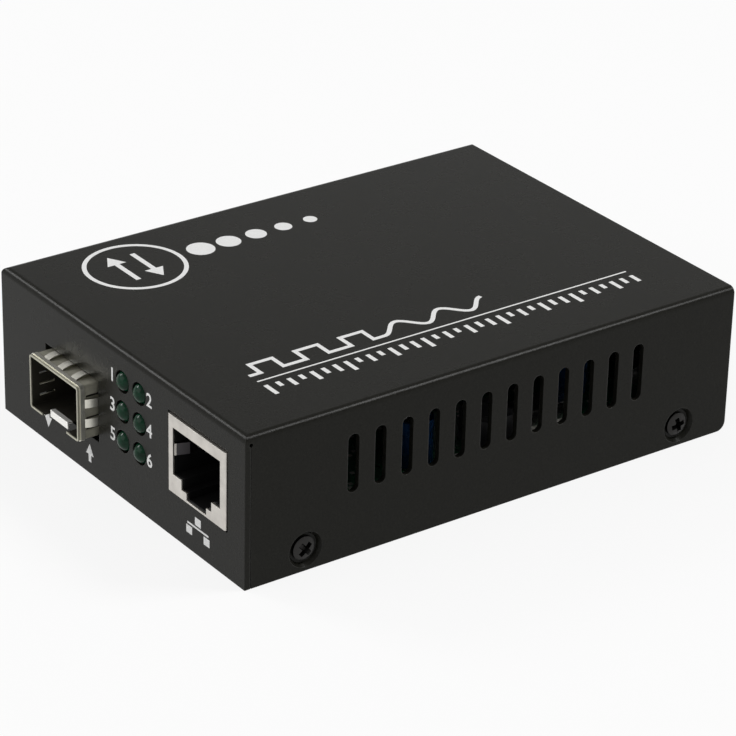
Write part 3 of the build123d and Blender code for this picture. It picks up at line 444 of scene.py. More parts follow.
def powder_coat(name, paint):
    """Fine charcoal powder coat; its sharp edges are drawn in a lighter colour, a painted highlight."""
    finish = Finish(name)
    grain = finish.placed("Grain", Size=paint.grain)
    edges = finish.placed("Edges", Radius=paint.edge_radius)
    change = 0.015
    rough = finish.placed(
        "Blotches", Size=6 * MM, Low=paint.roughness - change, High=paint.roughness + change
    )
    coat = finish.mix(grain.outputs["Shade"], paint.dark, paint.light)
    # Sharp edges take the lighter edge colour: painted highlight.
    finish.feed(finish.mix(edges.outputs["Mask"], coat, paint.edge), "Base Color")
    finish.feed(rough.outputs["Value"], "Roughness")
    finish.fixed(Specular_IOR_Level=paint.gloss)
    finish.bump(grain.outputs["Height"], paint.grain_height, edges.outputs["Normal"])
    return finish.material


def rolled_metal(name, base, metal, roughness=0.34, darkest=0.82, metallic=1.0, patches=()):
    """Bare sheet or drawn metal with rolling lines, handling marks and softened edges.

    Each patch is a low corner, a high corner and the colour painted between them; here the patches carry
    painted shade and painted highlights.
    """
    finish = Finish(name)
    spread = 0.09
    line_height = 0.004 * MM
    lines = finish.placed(
        "Rolled Lines", Size=metal.line, Low=roughness - spread, High=roughness + spread
    )
    marks = finish.placed("Blotches", Size=2.4 * MM, Low=0.0, High=1.0)
    edges = finish.placed("Edges", Radius=metal.edge_radius)
    dark = tuple(channel * darkest for channel in base)
    tone = finish.mix(marks.outputs["Value"], dark, base)
    for low, high, other in patches:
        region = finish.placed("Patch", Middle=(low + high) / 2, Reach=(high - low) / 2)
        tone = finish.mix(region.outputs["Mask"], tone, other)
    finish.feed(tone, "Base Color")
    finish.feed(lines.outputs["Value"], "Roughness")
    finish.fixed(Metallic=metallic)
    finish.bump(lines.outputs["Height"], line_height, edges.outputs["Normal"])
    return finish.material


def moulded_plastic(name, base, grain, roughness=0.42, height=0.006, lighter=1.5, gloss=0.5):
    """Moulded plastic with a fine spark-eroded texture."""
    finish = Finish(name)
    texture = finish.placed("Grain", Size=grain)
    rough = finish.placed("Blotches", Size=3 * MM, Low=roughness - 0.06, High=roughness + 0.06)
    edges = finish.placed("Edges", Radius=0.08 * MM)
    pale = tuple(min(channel * lighter, 1.0) for channel in base)
    finish.feed(finish.mix(texture.outputs["Shade"], base, pale), "Base Color")
    finish.feed(rough.outputs["Value"], "Roughness")
    finish.fixed(Specular_IOR_Level=gloss)
    finish.bump(texture.outputs["Height"], height * MM, edges.outputs["Normal"])
    return finish.material


def lamp_lens(name, plastic):
    """Tinted, unlit lamp lens: deep green, cloudy inside, with a hard gloss."""
    finish = Finish(name)
    cloud = finish.placed("Blotches", Size=0.9 * MM, Low=0.0, High=1.0)
    depth = finish.mix(cloud.outputs["Value"], plastic.lamp_dark, plastic.lamp_light)
    finish.feed(depth, "Base Color")
    rough = finish.placed("Blotches", Size=0.9 * MM, Low=0.1, High=0.18)
    finish.feed(rough.outputs["Value"], "Roughness")
    finish.fixed(Specular_IOR_Level=0.15)
    return finish.material


def circuit_board(name, plastic):
    """Green solder mask over copper: tracks that show as a paler green, and tinned rings."""
    finish = Finish(name)
    tree = finish.tree
    cells = add_node(tree, "TexVoronoi", distance="CHEBYCHEV")
    cells.inputs["Scale"].default_value = 420.0
    cells.inputs["Randomness"].default_value = 0.72
    tracks = add_node(tree, "TexBrick", offset=0.35, squash=1.0)
    tracks.inputs["Scale"].default_value = 260.0
    tracks.inputs["Mortar Size"].default_value = 0.09
    tracks.inputs["Mortar Smooth"].default_value = 0.0
    tracks.inputs["Color1"].default_value = opaque((0, 0, 0))
    tracks.inputs["Color2"].default_value = opaque((0.12, 0.12, 0.12))
    tracks.inputs["Mortar"].default_value = opaque((1, 1, 1))
    holes = add_node(tree, "MapRange")
    holes.inputs["From Min"].default_value = 0.17
    holes.inputs["From Max"].default_value = 0.15
    wire(tree, finish.coords, cells.inputs["Vector"], tracks.inputs["Vector"])
    wire(tree, cells.outputs["Distance"], holes.inputs["Value"])
    mask = finish.mix(tracks.outputs["Color"], plastic.board, plastic.track)
    finish.feed(finish.mix(holes.outputs["Result"], mask, plastic.pad), "Base Color")
    rough = finish.placed("Blotches", Size=5 * MM, Low=0.24, High=0.38)
    finish.feed(rough.outputs["Value"], "Roughness")
    finish.bump(tracks.outputs["Color"], 0.02 * MM)
    return finish.material


def shrunk_sleeve(name, plastic):
    """Glossy blue shrunk sleeve."""
    finish = Finish(name)
    tree = finish.tree
    film = finish.placed("Blotches", Size=1.6 * MM, Low=0.0, High=1.0)
    deep = tuple(channel * 0.55 for channel in plastic.sleeve)
    finish.feed(finish.mix(film.outputs["Value"], deep, plastic.sleeve), "Base Color")
    rough = finish.placed("Blotches", Size=0.8 * MM, Low=0.16, High=0.3)
    finish.feed(rough.outputs["Value"], "Roughness")
    wrinkle = add_node(tree, "TexNoise", Scale=900.0, Detail=2.0)
    wire(tree, finish.coords, wrinkle.inputs["Vector"])
    finish.bump(wrinkle.outputs[0], 0.02 * MM)
    finish.fixed(Coat_Weight=0.3, Coat_Roughness=0.1)
    return finish.material


def printed_ink(name, print_marks):
    """Screen-printed ink, a little uneven at its grain."""
    finish = Finish(name)
    grain = finish.placed("Grain", Size=0.16 * MM)
    worn = tuple(channel * 0.86 for channel in print_marks.ink)
    finish.feed(finish.mix(grain.outputs["Shade"], worn, print_marks.ink), "Base Color")
    rough = finish.placed("Blotches", Size=2 * MM, Low=0.5, High=0.62)
    finish.feed(rough.outputs["Value"], "Roughness")
    finish.bump(grain.outputs["Height"], 0.006 * MM)
    return finish.material


def inner_box(node, wall):
    """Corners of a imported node's box, moved in by a wall."""
    low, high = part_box(node)
    inset = Vector((wall, wall, wall))
    return low + inset, high - inset


def dress(nodes, material):
    """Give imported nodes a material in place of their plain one."""
    for name in nodes:
        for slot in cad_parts[name].material_slots:
            slot.material = material


# Mesh building


def new_piece(name, mesh_maker, material):
    """Object at the origin whose mesh holds its place, riding on the converter."""
    mesh = bpy.data.meshes.new(name)
    mesh_maker.to_mesh(mesh)
    mesh_maker.free()
    piece = bpy.data.objects.new(name, mesh)
    bpy.context.scene.collection.objects.link(piece)
    mesh.materials.append(material)
    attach(piece, BODY)
    return piece


def flat_bar(mesh, low, high):
    """Flat rectangle of ink between two corners."""
    size = Vector((high[0] - low[0], high[1] - low[1], 1.0))
    middle = Vector(((low[0] + high[0]) / 2, (low[1] + high[1]) / 2, 0.0))
    fit = Matrix.Translation(middle) @ Matrix.Diagonal((*size, 1.0))
    bmesh.ops.create_grid(mesh, x_segments=1, y_segments=1, size=0.5, matrix=fit)


def flat_triangle(mesh, middle, radius, angle):
    """Flat arrow head of ink that points along an angle."""
    fit = Matrix.Translation((*middle, 0.0)) @ Matrix.Rotation(angle - math.pi / 2, 4, "Z")
    bmesh.ops.create_circle(mesh, cap_ends=True, segments=3, radius=radius, matrix=fit)


def flat_dot(mesh, middle, radius):
    """Flat round dot of ink."""
    fit = Matrix.Translation((*middle, 0.0))
    bmesh.ops.create_circle(mesh, cap_ends=True, segments=DOT_SIDES, radius=radius, matrix=fit)


def flat_ring(mesh, middle, radius, width):
    """Flat ring of ink, spun from one edge across it."""
    ends = [
        mesh.verts.new((middle[0] + reach, middle[1], 0.0))
        for reach in (radius - width / 2, radius + width / 2)
    ]
    edge = mesh.edges.new(ends)
    bmesh.ops.spin(
        mesh,
        geom=[*ends, edge],
        cent=(*middle, 0.0),
        axis=(0, 0, 1),
        angle=math.tau,
        steps=RING_SIDES,
        use_merge=True,
    )


def flat_stroke(mesh, points, width):
    """Flat line of ink through points, drawn by extruding its end edge from point to point."""
    points = [Vector(point) for point in points]
    steps = [(end - start).normalized() for start, end in zip(points, points[1:])]
    edge = None
    for index, point in enumerate(points):
        before = steps[max(index - 1, 0)]
        after = steps[min(index, len(steps) - 1)]
        across = Vector((-(before + after).y, (before + after).x)).normalized()
        reach = width / 2 / max(across.dot(Vector((-after.y, after.x))), 0.3)
        sides = (point + across * reach, point - across * reach)
        if edge is None:
            corners = [mesh.verts.new((*side, 0.0)) for side in sides]
            edge = mesh.edges.new(corners)
            continue
        grown = bmesh.ops.extrude_edge_only(mesh, edges=[edge])["geom"]
        edge = next(item for item in grown if isinstance(item, bmesh.types.BMEdge))
        left = next(
            vert for vert in edge.verts if (vert.co - corners[0].co).length < WELD
        )
        right = edge.other_vert(left)
        left.co = (*sides[0], 0.0)
        right.co = (*sides[1], 0.0)
        corners = [left, right]


def raise_ink(mesh, thickness, turn):
    """Give flat marks their thickness and lay them on the case."""
    bmesh.ops.remove_doubles(mesh, verts=mesh.verts, dist=WELD)
    bmesh.ops.recalc_face_normals(mesh, faces=mesh.faces)
    for face in mesh.faces:
        if face.normal.z < 0:
            face.normal_flip()
    sheet = list(mesh.faces)
    raised = bmesh.ops.extrude_face_region(mesh, geom=sheet, use_keep_orig=True)["geom"]
    tops = [item for item in raised if isinstance(item, bmesh.types.BMVert)]
    bmesh.ops.translate(mesh, verts=tops, vec=(0, 0, thickness))
    bmesh.ops.recalc_face_normals(mesh, faces=mesh.faces)
    bmesh.ops.transform(mesh, matrix=turn, verts=mesh.verts)


def numeral(mesh, text, middle, height, thickness):
    """Add a plain numeral, centred on a point."""
    curve = bpy.data.curves.new("numeral", "FONT")
    curve.body = text
    curve.size = height * 1.42
    curve.align_x = "CENTER"
    curve.align_y = "CENTER"
    curve.extrude = thickness / 2
    curve.offset = height * 0.02
    curve.resolution_u = 4
    holder = bpy.data.objects.new("numeral", curve)
    bpy.context.scene.collection.objects.link(holder)
    bpy.context.view_layer.update()
    flat = bpy.data.meshes.new_from_object(holder.evaluated_get(bpy.context.evaluated_depsgraph_get()))
    flat.transform(Matrix.Translation((*middle, thickness / 2)))
    mesh.from_mesh(flat)
    bpy.data.objects.remove(holder)
    bpy.data.curves.remove(curve)
    bpy.data.meshes.remove(flat)


def cross_outline(arm, half_width):
    """Corners of an upright cross, anticlockwise."""
    quarter = [(arm, -half_width), (arm, half_width), (half_width, half_width)]
    corners = []
    for turn in range(4):
        spin = Matrix.Rotation(turn * math.pi / 2, 2)
        corners.extend(spin @ Vector(corner) for corner in quarter)
    return corners


def screw_head(mesh, screw, radius):
    """Domed head at the origin with a tapered cross recess, open underneath."""
    corners = cross_outline(screw.arm, screw.arm_width / 2)
    verts = [mesh.verts.new((*corner, screw.head_height)) for corner in corners]
    loop = [mesh.edges.new((verts[index - 1], verts[index])) for index in range(len(verts))]
    cuts = screw.sides // len(corners) - 1
    bmesh.ops.subdivide_edges(mesh, edges=loop, cuts=cuts)
    mouth = list(mesh.edges)
    walls = bmesh.ops.extrude_edge_only(mesh, edges=mouth)["geom"]
    foot = [item for item in walls if isinstance(item, bmesh.types.BMVert)]
    taper = 0.62
    sink = Matrix.Translation((0, 0, -screw.cross_depth))
    floor = sink @ Matrix.Diagonal((taper, taper, 1.0, 1.0))
    bmesh.ops.transform(mesh, matrix=floor, verts=foot)
    foot_edges = [item for item in walls if isinstance(item, bmesh.types.BMEdge)]
    foot_edges = [edge for edge in foot_edges if all(vert in foot for vert in edge.verts)]
    bmesh.ops.contextual_create(mesh, geom=foot_edges)
    rim = bmesh.ops.create_circle(
        mesh,
        segments=screw.sides,
        radius=radius,
        matrix=Matrix.Translation((0, 0, screw.head_height)) @ Matrix.Rotation(-math.pi / 24, 4, "Z"),
    )["verts"]
    rim_edges = list({edge for vert in rim for edge in vert.link_edges})
    crown = bmesh.ops.bridge_loops(mesh, edges=mouth + rim_edges)["edges"]
    bmesh.ops.subdivide_edges(mesh, edges=crown, cuts=4, use_grid_fill=True)
    for vert in mesh.verts:
        reach = math.hypot(vert.co.x, vert.co.y) / radius
        above = vert.co.z > screw.head_height - screw.cross_depth / 2
        if above:
            vert.co.z -= screw.head_dome * reach**3
    skirt = bmesh.ops.extrude_edge_only(mesh, edges=rim_edges)["geom"]
    for item in skirt:
        if isinstance(item, bmesh.types.BMVert):
            item.co.z = 0.0


def threaded_shank(mesh, screw):
    """Thread spun as a true helix, closed at its tip and open under the head."""
    pitch = screw.thread_pitch
    turns = math.ceil(screw.length / pitch) + 2
    root = screw.thread_radius - screw.thread_depth
    # The profile starts a little off a whole pitch, so that no corner lies on a cut.
    start = -screw.length - 1.02 * pitch
    profile = []
    for turn in range(turns):
        low = start + turn * pitch
        profile.append((root, low))
        profile.append((screw.thread_radius, low + pitch / 2))
    profile.append((root, start + turns * pitch))
    verts = [mesh.verts.new((reach, 0.0, height)) for reach, height in profile]
    edges = [mesh.edges.new(pair) for pair in zip(verts, verts[1:])]
    steps = 24
    bmesh.ops.spin(
        mesh,
        geom=[*verts, *edges],
        cent=(0, 0, 0),
        axis=(0, 0, 1),
        dvec=(0, 0, pitch / steps),
        angle=math.tau,
        steps=steps,
        use_merge=False,
    )
    bmesh.ops.remove_doubles(mesh, verts=mesh.verts, dist=WELD)
    for height, direction in ((0.0, 1), (-screw.length, -1)):
        cut = bmesh.ops.bisect_plane(
            mesh,
            geom=[*mesh.verts, *mesh.edges, *mesh.faces],
            plane_co=(0, 0, height),
            plane_no=(0, 0, direction),
            clear_outer=True,
        )["geom_cut"]
    tip = [item for item in cut if isinstance(item, bmesh.types.BMEdge)]
    bmesh.ops.contextual_create(mesh, geom=tip)


def cross_head_screw(screw, radius):
    """Whole case screw: head up, thread down, standing on the origin."""
    mesh = bmesh.new()
    screw_head(mesh, screw, radius)
    shank = bmesh.new()
    threaded_shank(shank, screw)
    carrier = bpy.data.meshes.new("shank")
    shank.to_mesh(carrier)
    shank.free()
    mesh.from_mesh(carrier)
    bpy.data.meshes.remove(carrier)
    bmesh.ops.bridge_loops(mesh, edges=[edge for edge in mesh.edges if edge.is_boundary])
    bmesh.ops.recalc_face_normals(mesh, faces=mesh.faces)
    for face in mesh.faces:
        face.smooth = True
    for edge in mesh.edges:
        edge.smooth = edge.calc_face_angle() < math.radians(35)
    return mesh


# Operators: one for each piece or group of like pieces, and one for the stage


class FinishCase(bpy.types.Operator):
    """Powder-coat the cover and the tray"""

    bl_idname = "converter.finish_case"
    bl_label = "Case Finish"

    def execute(self, context):
        coat = powder_coat("charcoal_powder_coat", context.scene.converter_paint)
        dress(("top_cover", "base_tray"), coat)
        return {"FINISHED"}


class FinishMetals(bpy.types.Operator):
    """Finish the cage, the fingers, the jack shield and the other bare metals"""

    bl_idname = "converter.finish_metals"
    bl_label = "Metal Finishes"

    def execute(self, context):
        metal = context.scene.converter_metal
        cage_low, cage_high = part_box("sfp_cage")
        middle = (cage_low.x + cage_high.x) / 2
        lip = Vector((middle - 2.7 * MM, cage_low.y + 0.6 * MM, cage_high.z - 9.4 * MM))
        lip_end = Vector((middle + 2.7 * MM, cage_low.y + 1.8 * MM, cage_high.z - 7.6 * MM))
        regions = (
            # Painted shade: the inside of the cage drawn dark.
            (*inner_box("sfp_cage", 0.2 * MM), metal.cage_inside),
            # Painted highlight: the latch tab's lip drawn near white.
            (lip, lip_end, metal.tab),
        )
        nickel = rolled_metal(
            "cage_nickel", metal.cage, metal, roughness=0.42, metallic=0.65, patches=regions
        )
        dress(("sfp_cage",), nickel)
        dress(("sfp_emi_fingers",), rolled_metal("finger_steel", metal.finger, metal, roughness=0.36))
        # Painted shade: the inside of the jack shield drawn dark.
        regions = ((*inner_box("rj45_shield", 0.6 * MM), metal.spring),)
        tin_plate = rolled_metal("shield_tin", metal.shield, metal, roughness=0.44, patches=regions)
        dress(("rj45_shield",), tin_plate)
        dress(("board_standoffs", "board_screws"), rolled_metal("zinc_plate", metal.zinc, metal))
        dress(
            (
                "lamp_leads",
                "dc_jack_pin",
                "dc_jack_spring",
                "line_transformer_leads",
                "memory_chip_leads",
                "regulator_leads",
                "capacitor_leads",
            ),
            rolled_metal("lead_tin", metal.tin, metal, roughness=0.4),
        )
        dress(
            ("rj45_contacts", "sfp_host_contacts"),
            rolled_metal("contact_gold", metal.gold, metal, roughness=0.25, darkest=0.9),
        )
        dress(("heat_sink",), rolled_metal("sink_aluminium", metal.aluminium, metal, roughness=0.42))
        dress(("capacitor_cans",), rolled_metal("can_aluminium", metal.aluminium, metal, roughness=0.25))
        dress(("crystal",), rolled_metal("crystal_can", metal.tin, metal, roughness=0.28))
        return {"FINISHED"}


class FinishPlastics(bpy.types.Operator):
    """Finish the moulded plastics, the packages and the small parts"""

    bl_idname = "converter.finish_plastics"
    bl_label = "Plastic Finishes"

    def execute(self, context):
        plastic = context.scene.converter_plastic
        dress(
            ("rj45_housing", "sfp_host_connector", "lamp_holder", "dc_jack_housing"),
            moulded_plastic("black_plastic", plastic.black, plastic.grain, gloss=0.2),
        )
        dress(
            ("line_transformer", "converter_chip", "memory_chip", "regulator"),
            moulded_plastic(
                "package_black", plastic.package, plastic.grain, roughness=0.55, height=0.01
            ),
        )
        dress(
            ("power_inductor",),
            moulded_plastic("ferrite_grey", plastic.ferrite, plastic.grain, roughness=0.6),
        )
        dress(
            ("chip_components",),
            moulded_plastic("ceramic_tan", plastic.ceramic, plastic.grain, lighter=1.2),
        )
        dress(("capacitor_sleeves",), shrunk_sleeve("sleeve_blue", plastic))
        dress(("main_board",), circuit_board("board_green", plastic))
        return {"FINISHED"}


class FinishLamps(bpy.types.Operator):
    """Give the six lamps their tinted lenses"""

    bl_idname = "converter.finish_lamps"
    bl_label = "Lamps"

    def execute(self, context):
        lenses = [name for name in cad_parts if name.startswith(("lamp_left", "lamp_right"))]
        dress(lenses, lamp_lens("lamp_green", context.scene.converter_plastic))
        return {"FINISHED"}


class ModelCaseScrews(bpy.types.Operator):
    """Model the four case screws with domed heads, deep crosses and threads"""

    bl_idname = "converter.case_screws"
    bl_label = "Case Screws"

    def execute(self, context):
        screw = context.scene.converter_screw
        low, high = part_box("case_screws")
        radius = (high.z - low.z) / 2
        height = (high.z + low.z) / 2
        single = cross_head_screw(screw, radius)
        pattern = bpy.data.meshes.new("pattern")
        single.to_mesh(pattern)
        single.free()
        screws = bmesh.new()
        rows = ((low.y + radius, screw.front_turn), (high.y - radius, screw.rear_turn))
        for side, outside in ((-1, low.x), (1, high.x)):
            for y, angle in rows:
                seat = outside - side * screw.head_height
                outwards = Matrix.Rotation(side * math.pi / 2, 4, "Y")
                turn = Matrix.Translation((seat, y, height)) @ outwards
                spin = Matrix.Rotation(side * angle, 4, "Z")
                copy = pattern.copy()
                copy.transform(turn @ spin)
                screws.from_mesh(copy)
                bpy.data.meshes.remove(copy)
        bpy.data.meshes.remove(pattern)
        metal = context.scene.converter_metal
        finish = rolled_metal("screw_black", metal.screw, metal, roughness=0.38)
        piece = new_piece("case_screw_set", screws, finish)
        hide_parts("case_screws")
        return {"FINISHED"}


class PrintTopMarks(bpy.types.Operator):
    """Print the generic signal marks on the top"""

    bl_idname = "converter.print_top"
    bl_label = "Top Marks"

    def execute(self, context):
        ink = context.scene.converter_print
        marks = bmesh.new()
        self.draw_exchange_sign(marks, ink, Vector((-23.5, -29.0)) * MM)
        self.draw_pulses(marks, ink, 17.2 * MM, -35.4 * MM)
        self.draw_level_bars(marks, ink, -35.4 * MM, 36.1 * MM)
        raise_ink(marks, ink.thickness, Matrix.Translation((0, 0, case_high.z)))
        finish = bpy.data.materials.get("printed_ink") or printed_ink("printed_ink", ink)
        new_piece("top_marks", marks, finish)
        return {"FINISHED"}

    def draw_exchange_sign(self, marks, ink, middle):
        """Two opposed arrows in a ring, beside a column of shrinking dots."""
        ring_radius = 8.2 * MM
        flat_ring(marks, middle, ring_radius, ink.bold)
        reach = 4.4 * MM
        apart = 2.1 * MM
        half_stem = 0.45 * MM
        head_length = 2.2 * MM
        head_middle = 1.2 * MM
        head_radius = 2.0 * MM
        for side in (-1, 1):
            y = middle.y + side * apart
            tip = middle.x + side * reach
            ends = sorted((middle.x - side * reach, tip - side * head_length))
            flat_bar(marks, (ends[0], y - half_stem), (ends[1], y + half_stem))
            heading = 0.0 if side > 0 else math.pi
            flat_triangle(marks, (tip - side * head_middle, y), head_radius, heading)
        dots, first, step = 5, 12.5, 5.4
        largest, shrink = 2.4, 0.3
        for index in range(dots):
            dot = Vector((middle.x, middle.y + (first + step * index) * MM))
            flat_dot(marks, dot, (largest - shrink * index) * MM)

    def draw_pulses(self, marks, ink, line_x, start):
        """Square pulses that turn into a smooth wave."""
        rise = 1.6 * MM
        pulse = 4.2 * MM
        count = 6
        points = [Vector((line_x + rise, start))]
        for index in range(count):
            side = -1 if index % 2 == 0 else 1
            y = start + (index + 0.5) * pulse
            points.append(Vector((line_x - side * rise, y)))
            points.append(Vector((line_x + side * rise, y)))
        wave_start = start + count * pulse
        points.append(Vector((points[-1].x, wave_start)))
        wave = 8.4 * MM
        steps = 16
        for index in range(1, 5 * steps // 2 + 1):
            phase = math.tau * index / steps
            points.append(Vector((line_x + rise * math.cos(phase), wave_start + wave * index / steps)))
        flat_stroke(marks, points, ink.bold)

    def draw_level_bars(self, marks, ink, start, end):
        """Thin rule over a row of long and short bars."""
        rule_x = 21.0 * MM
        bar_x = 22.6 * MM
        lengths = (3.3, 1.5, 2.4, 1.5, 2.9, 1.9, 2.4)
        flat_bar(marks, (rule_x - ink.fine / 2, start), (rule_x + ink.fine / 2, end))
        count = 35
        for index in range(count):
            y = start + (end - start - ink.bold) * index / (count - 1)
            reach = lengths[index % len(lengths)] * MM
            flat_bar(marks, (bar_x, y), (bar_x + reach, y + ink.bold))


class PrintFrontMarks(bpy.types.Operator):
    """Print the lamp numerals and port signs on the front"""

    bl_idname = "converter.print_front"
    bl_label = "Front Marks"

    def execute(self, context):
        ink = context.scene.converter_print
        onto_front = Matrix.Translation((0, case_low.y, 0)) @ Matrix.Rotation(math.pi / 2, 4, "X")
        signs = bmesh.new()
        self.draw_port_signs(signs, ink)
        raise_ink(signs, ink.thickness, onto_front)
        finish = bpy.data.materials.get("printed_ink") or printed_ink("printed_ink", ink)
        new_piece("front_signs", signs, finish)
        numerals = bmesh.new()
        self.draw_lamp_numerals(numerals, ink)
        bmesh.ops.remove_doubles(numerals, verts=numerals.verts, dist=WELD)
        bmesh.ops.transform(numerals, matrix=onto_front, verts=numerals.verts)
        new_piece("lamp_numerals", numerals, finish)
        return {"FINISHED"}

    def draw_port_signs(self, signs, ink):
        """Arrows in and out under the cage, and a branching sign under the jack."""
        cage_low, cage_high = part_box("sfp_cage")
        cage_x = (cage_low.x + cage_high.x) / 2
        for side, x in ((-1, cage_x - 7.6 * MM), (1, cage_x + 5.1 * MM)):
            head = 4.0 * MM
            ends = sorted((head - side * 0.65 * MM, head - side * 1.9 * MM))
            flat_triangle(signs, (x, head), 1.3 * MM, side * math.pi / 2)
            flat_bar(signs, (x - 0.4 * MM, ends[0]), (x + 0.4 * MM, ends[1]))
        jack_low, jack_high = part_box("rj45_shield")
        jack_x = (jack_low.x + jack_high.x) / 2
        line = 4.4 * MM
        flat_bar(signs, (jack_x - 2.9 * MM, line), (jack_x + 2.9 * MM, line + ink.fine))
        for offset, low in ((-2.4, 2.75), (0.0, 5.0), (2.4, 2.75)):
            x = jack_x + offset * MM
            flat_bar(signs, (x - 0.8 * MM, low * MM), (x + 0.8 * MM, (low + 1.35) * MM))

    def draw_lamp_numerals(self, numerals, ink):
        """Plain numerals beside the lamps."""
        count = 1
        aside = 2.9 * MM
        for row in ("top", "middle", "bottom"):
            for column, side in (("left", -1), ("right", 1)):
                low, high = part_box(f"lamp_{column}_{row}")
                x = (low.x + high.x) / 2 + side * aside
                z = (low.z + high.z) / 2
                numeral(numerals, str(count), (x, z), ink.numeral, ink.thickness)
                count += 1


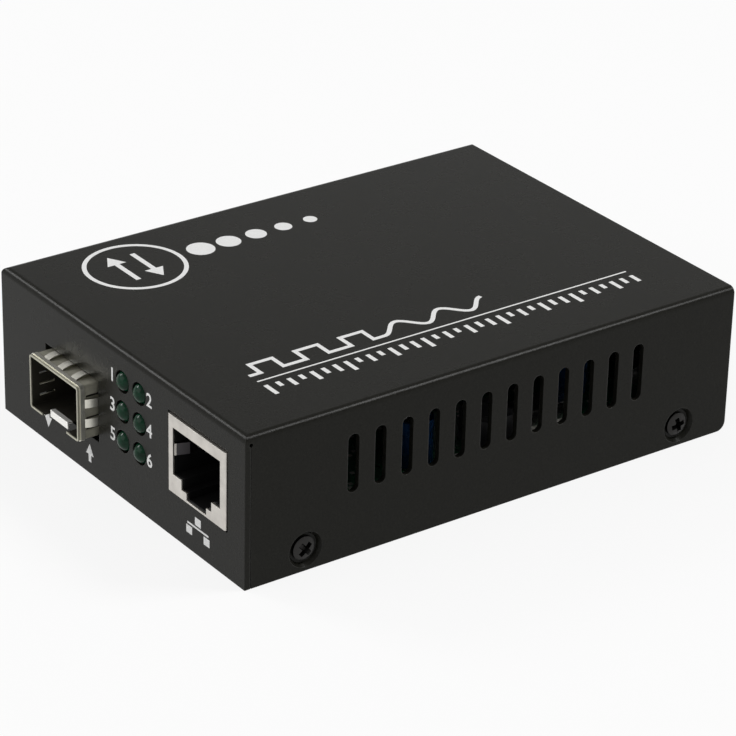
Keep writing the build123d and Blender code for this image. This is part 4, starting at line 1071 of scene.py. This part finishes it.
class BuildStudio(bpy.types.Operator):
    """Set the floor, the surroundings, the lamps and the camera"""

    bl_idname = "converter.studio"
    bl_label = "Studio"

    def execute(self, context):
        studio = context.scene.converter_studio
        context.scene.view_settings.view_transform = "Standard"
        self.lay_floor(studio)
        self.light_surroundings(context.scene, studio)
        middle = Vector((0, 0, case_high.z / 2))
        self.hang_lamp("front_lamp", (-0.18, -0.75, 0.5), middle, 0.8, 0.6, studio.front_power)
        self.hang_lamp("left_lamp", (-0.735, -0.41, 0.575), middle, 0.3, 0.3, studio.left_power)
        self.hang_lamp("back_lamp", (0.38, 0.54, 0.78), middle, 0.3, 0.3, studio.back_power)
        self.set_camera(context.scene, studio)
        return {"FINISHED"}

    def seen_directly(self, tree):
        """Output that is 1 where the camera, metal or glass looks, and 0 for light on the object."""
        path = add_node(tree, "LightPath")
        either = add_node(tree, "Math", operation="MAXIMUM")
        any_of = add_node(tree, "Math", operation="MAXIMUM")
        wire(tree, path.outputs["Is Camera Ray"], either.inputs[0])
        wire(tree, path.outputs["Is Glossy Ray"], either.inputs[1])
        wire(tree, either.outputs[0], any_of.inputs[0])
        wire(tree, path.outputs["Is Transmission Ray"], any_of.inputs[1])
        return any_of.outputs[0]

    def lay_floor(self, studio):
        """Pale floor that keeps the object's shadow."""
        mesh = bmesh.new()
        bmesh.ops.create_grid(mesh, x_segments=1, y_segments=1, size=4.0)
        floor = bpy.data.meshes.new("floor")
        mesh.to_mesh(floor)
        mesh.free()
        obj = bpy.data.objects.new("floor", floor)
        bpy.context.scene.collection.objects.link(obj)
        finish = Finish("floor_white")
        tree = finish.tree
        finish.fixed(Base_Color=opaque(studio.floor), Roughness=0.9, Specular_IOR_Level=0.1)
        white = add_node(tree, "Emission", Strength=1.0)
        portion = add_node(tree, "Math", operation="MULTIPLY")
        portion.inputs[1].default_value = studio.floor_white
        choose = add_node(tree, "MixShader")
        wire(tree, self.seen_directly(tree), portion.inputs[0])
        wire(tree, portion.outputs[0], choose.inputs[0])
        wire(tree, finish.shader.outputs[0], choose.inputs[1])
        wire(tree, white.outputs[0], choose.inputs[2])
        wire(tree, choose.outputs[0], tree.nodes["Material Output"].inputs["Surface"])
        floor.materials.append(finish.material)

    def light_surroundings(self, scene, studio):
        """Even light; what camera, metal and glass see is white, and dimmer overhead."""
        world = bpy.data.worlds.new("studio_world")
        world.use_nodes = True
        scene.world = world
        tree = world.node_tree
        light = tree.nodes["Background"]
        light.inputs["Strength"].default_value = studio.world_light
        seen = add_node(tree, "Background", Strength=1.0)
        for node in (light, seen):
            node.inputs["Color"].default_value = opaque((1.0, 1.0, 1.0))
        direction = add_node(tree, "TexCoord")
        axes = add_node(tree, "SeparateXYZ")
        fade = add_node(tree, "MapRange", interpolation_type="SMOOTHSTEP")
        fade.inputs["From Min"].default_value = 0.14
        fade.inputs["From Max"].default_value = 0.42
        fade.inputs["To Min"].default_value = 1.0
        fade.inputs["To Max"].default_value = studio.ceiling
        choose = add_node(tree, "MixShader")
        wire(tree, direction.outputs["Generated"], axes.inputs[0])
        wire(tree, axes.outputs["Z"], fade.inputs["Value"])
        wire(tree, fade.outputs["Result"], seen.inputs["Strength"])
        wire(tree, self.seen_directly(tree), choose.inputs[0])
        wire(tree, light.outputs[0], choose.inputs[1])
        wire(tree, seen.outputs[0], choose.inputs[2])
        wire(tree, choose.outputs[0], tree.nodes["World Output"].inputs["Surface"])

    def hang_lamp(self, name, spot, aim, width, height, power):
        """Soft rectangular lamp that points at the object."""
        data = bpy.data.lights.new(name, "AREA")
        data.shape = "RECTANGLE"
        data.size = width
        data.size_y = height
        data.energy = power
        lamp = bpy.data.objects.new(name, data)
        lamp.location = spot
        lamp.rotation_euler = (aim - Vector(spot)).to_track_quat("-Z", "Y").to_euler()
        bpy.context.scene.collection.objects.link(lamp)

    def set_camera(self, scene, studio):
        """Camera at the photograph's angle."""
        data = bpy.data.cameras.new("camera")
        data.lens = studio.focal_length
        data.sensor_width = 36.0
        data.clip_start = 0.01
        data.clip_end = 20.0
        camera = bpy.data.objects.new("camera", data)
        spot = Vector(studio.camera_place)
        look = (Vector(studio.camera_aim) - spot).to_track_quat("-Z", "Y").to_matrix().to_4x4()
        roll = Matrix.Rotation(studio.camera_roll, 4, "Z")
        camera.matrix_world = Matrix.Translation(spot) @ look @ roll
        scene.collection.objects.link(camera)
        scene.camera = camera


OPERATORS = (
    FinishCase,
    FinishMetals,
    FinishPlastics,
    FinishLamps,
    ModelCaseScrews,
    PrintTopMarks,
    PrintFrontMarks,
    BuildStudio,
)


class ConverterPanel(bpy.types.Panel):
    """Lists the converter's pieces and their settings"""

    bl_idname = "VIEW3D_PT_converter"
    bl_label = "Fibre Media Converter"
    bl_space_type = "VIEW_3D"
    bl_region_type = "UI"
    bl_category = "Converter"

    def draw(self, context):
        for operator in OPERATORS:
            self.layout.operator(operator.bl_idname)
        for name, settings in SETTINGS.items():
            box = self.layout.box()
            for field in settings.__annotations__:
                box.prop(getattr(context.scene, name), field)


CLASSES = (*SETTINGS.values(), *OPERATORS, ConverterPanel)


def register():
    for item in CLASSES:
        bpy.utils.register_class(item)
    for name, settings in SETTINGS.items():
        setattr(bpy.types.Scene, name, PointerProperty(type=settings))


def unregister():
    for name in SETTINGS:
        delattr(bpy.types.Scene, name)
    for item in reversed(CLASSES):
        bpy.utils.unregister_class(item)


def main():
    register()
    bpy.ops.converter.finish_case()
    bpy.ops.converter.finish_metals()
    bpy.ops.converter.finish_plastics()
    bpy.ops.converter.finish_lamps()
    bpy.ops.converter.case_screws()
    bpy.ops.converter.print_top()
    bpy.ops.converter.print_front()
    bpy.ops.converter.studio()


if __name__ == "__main__":
    main()
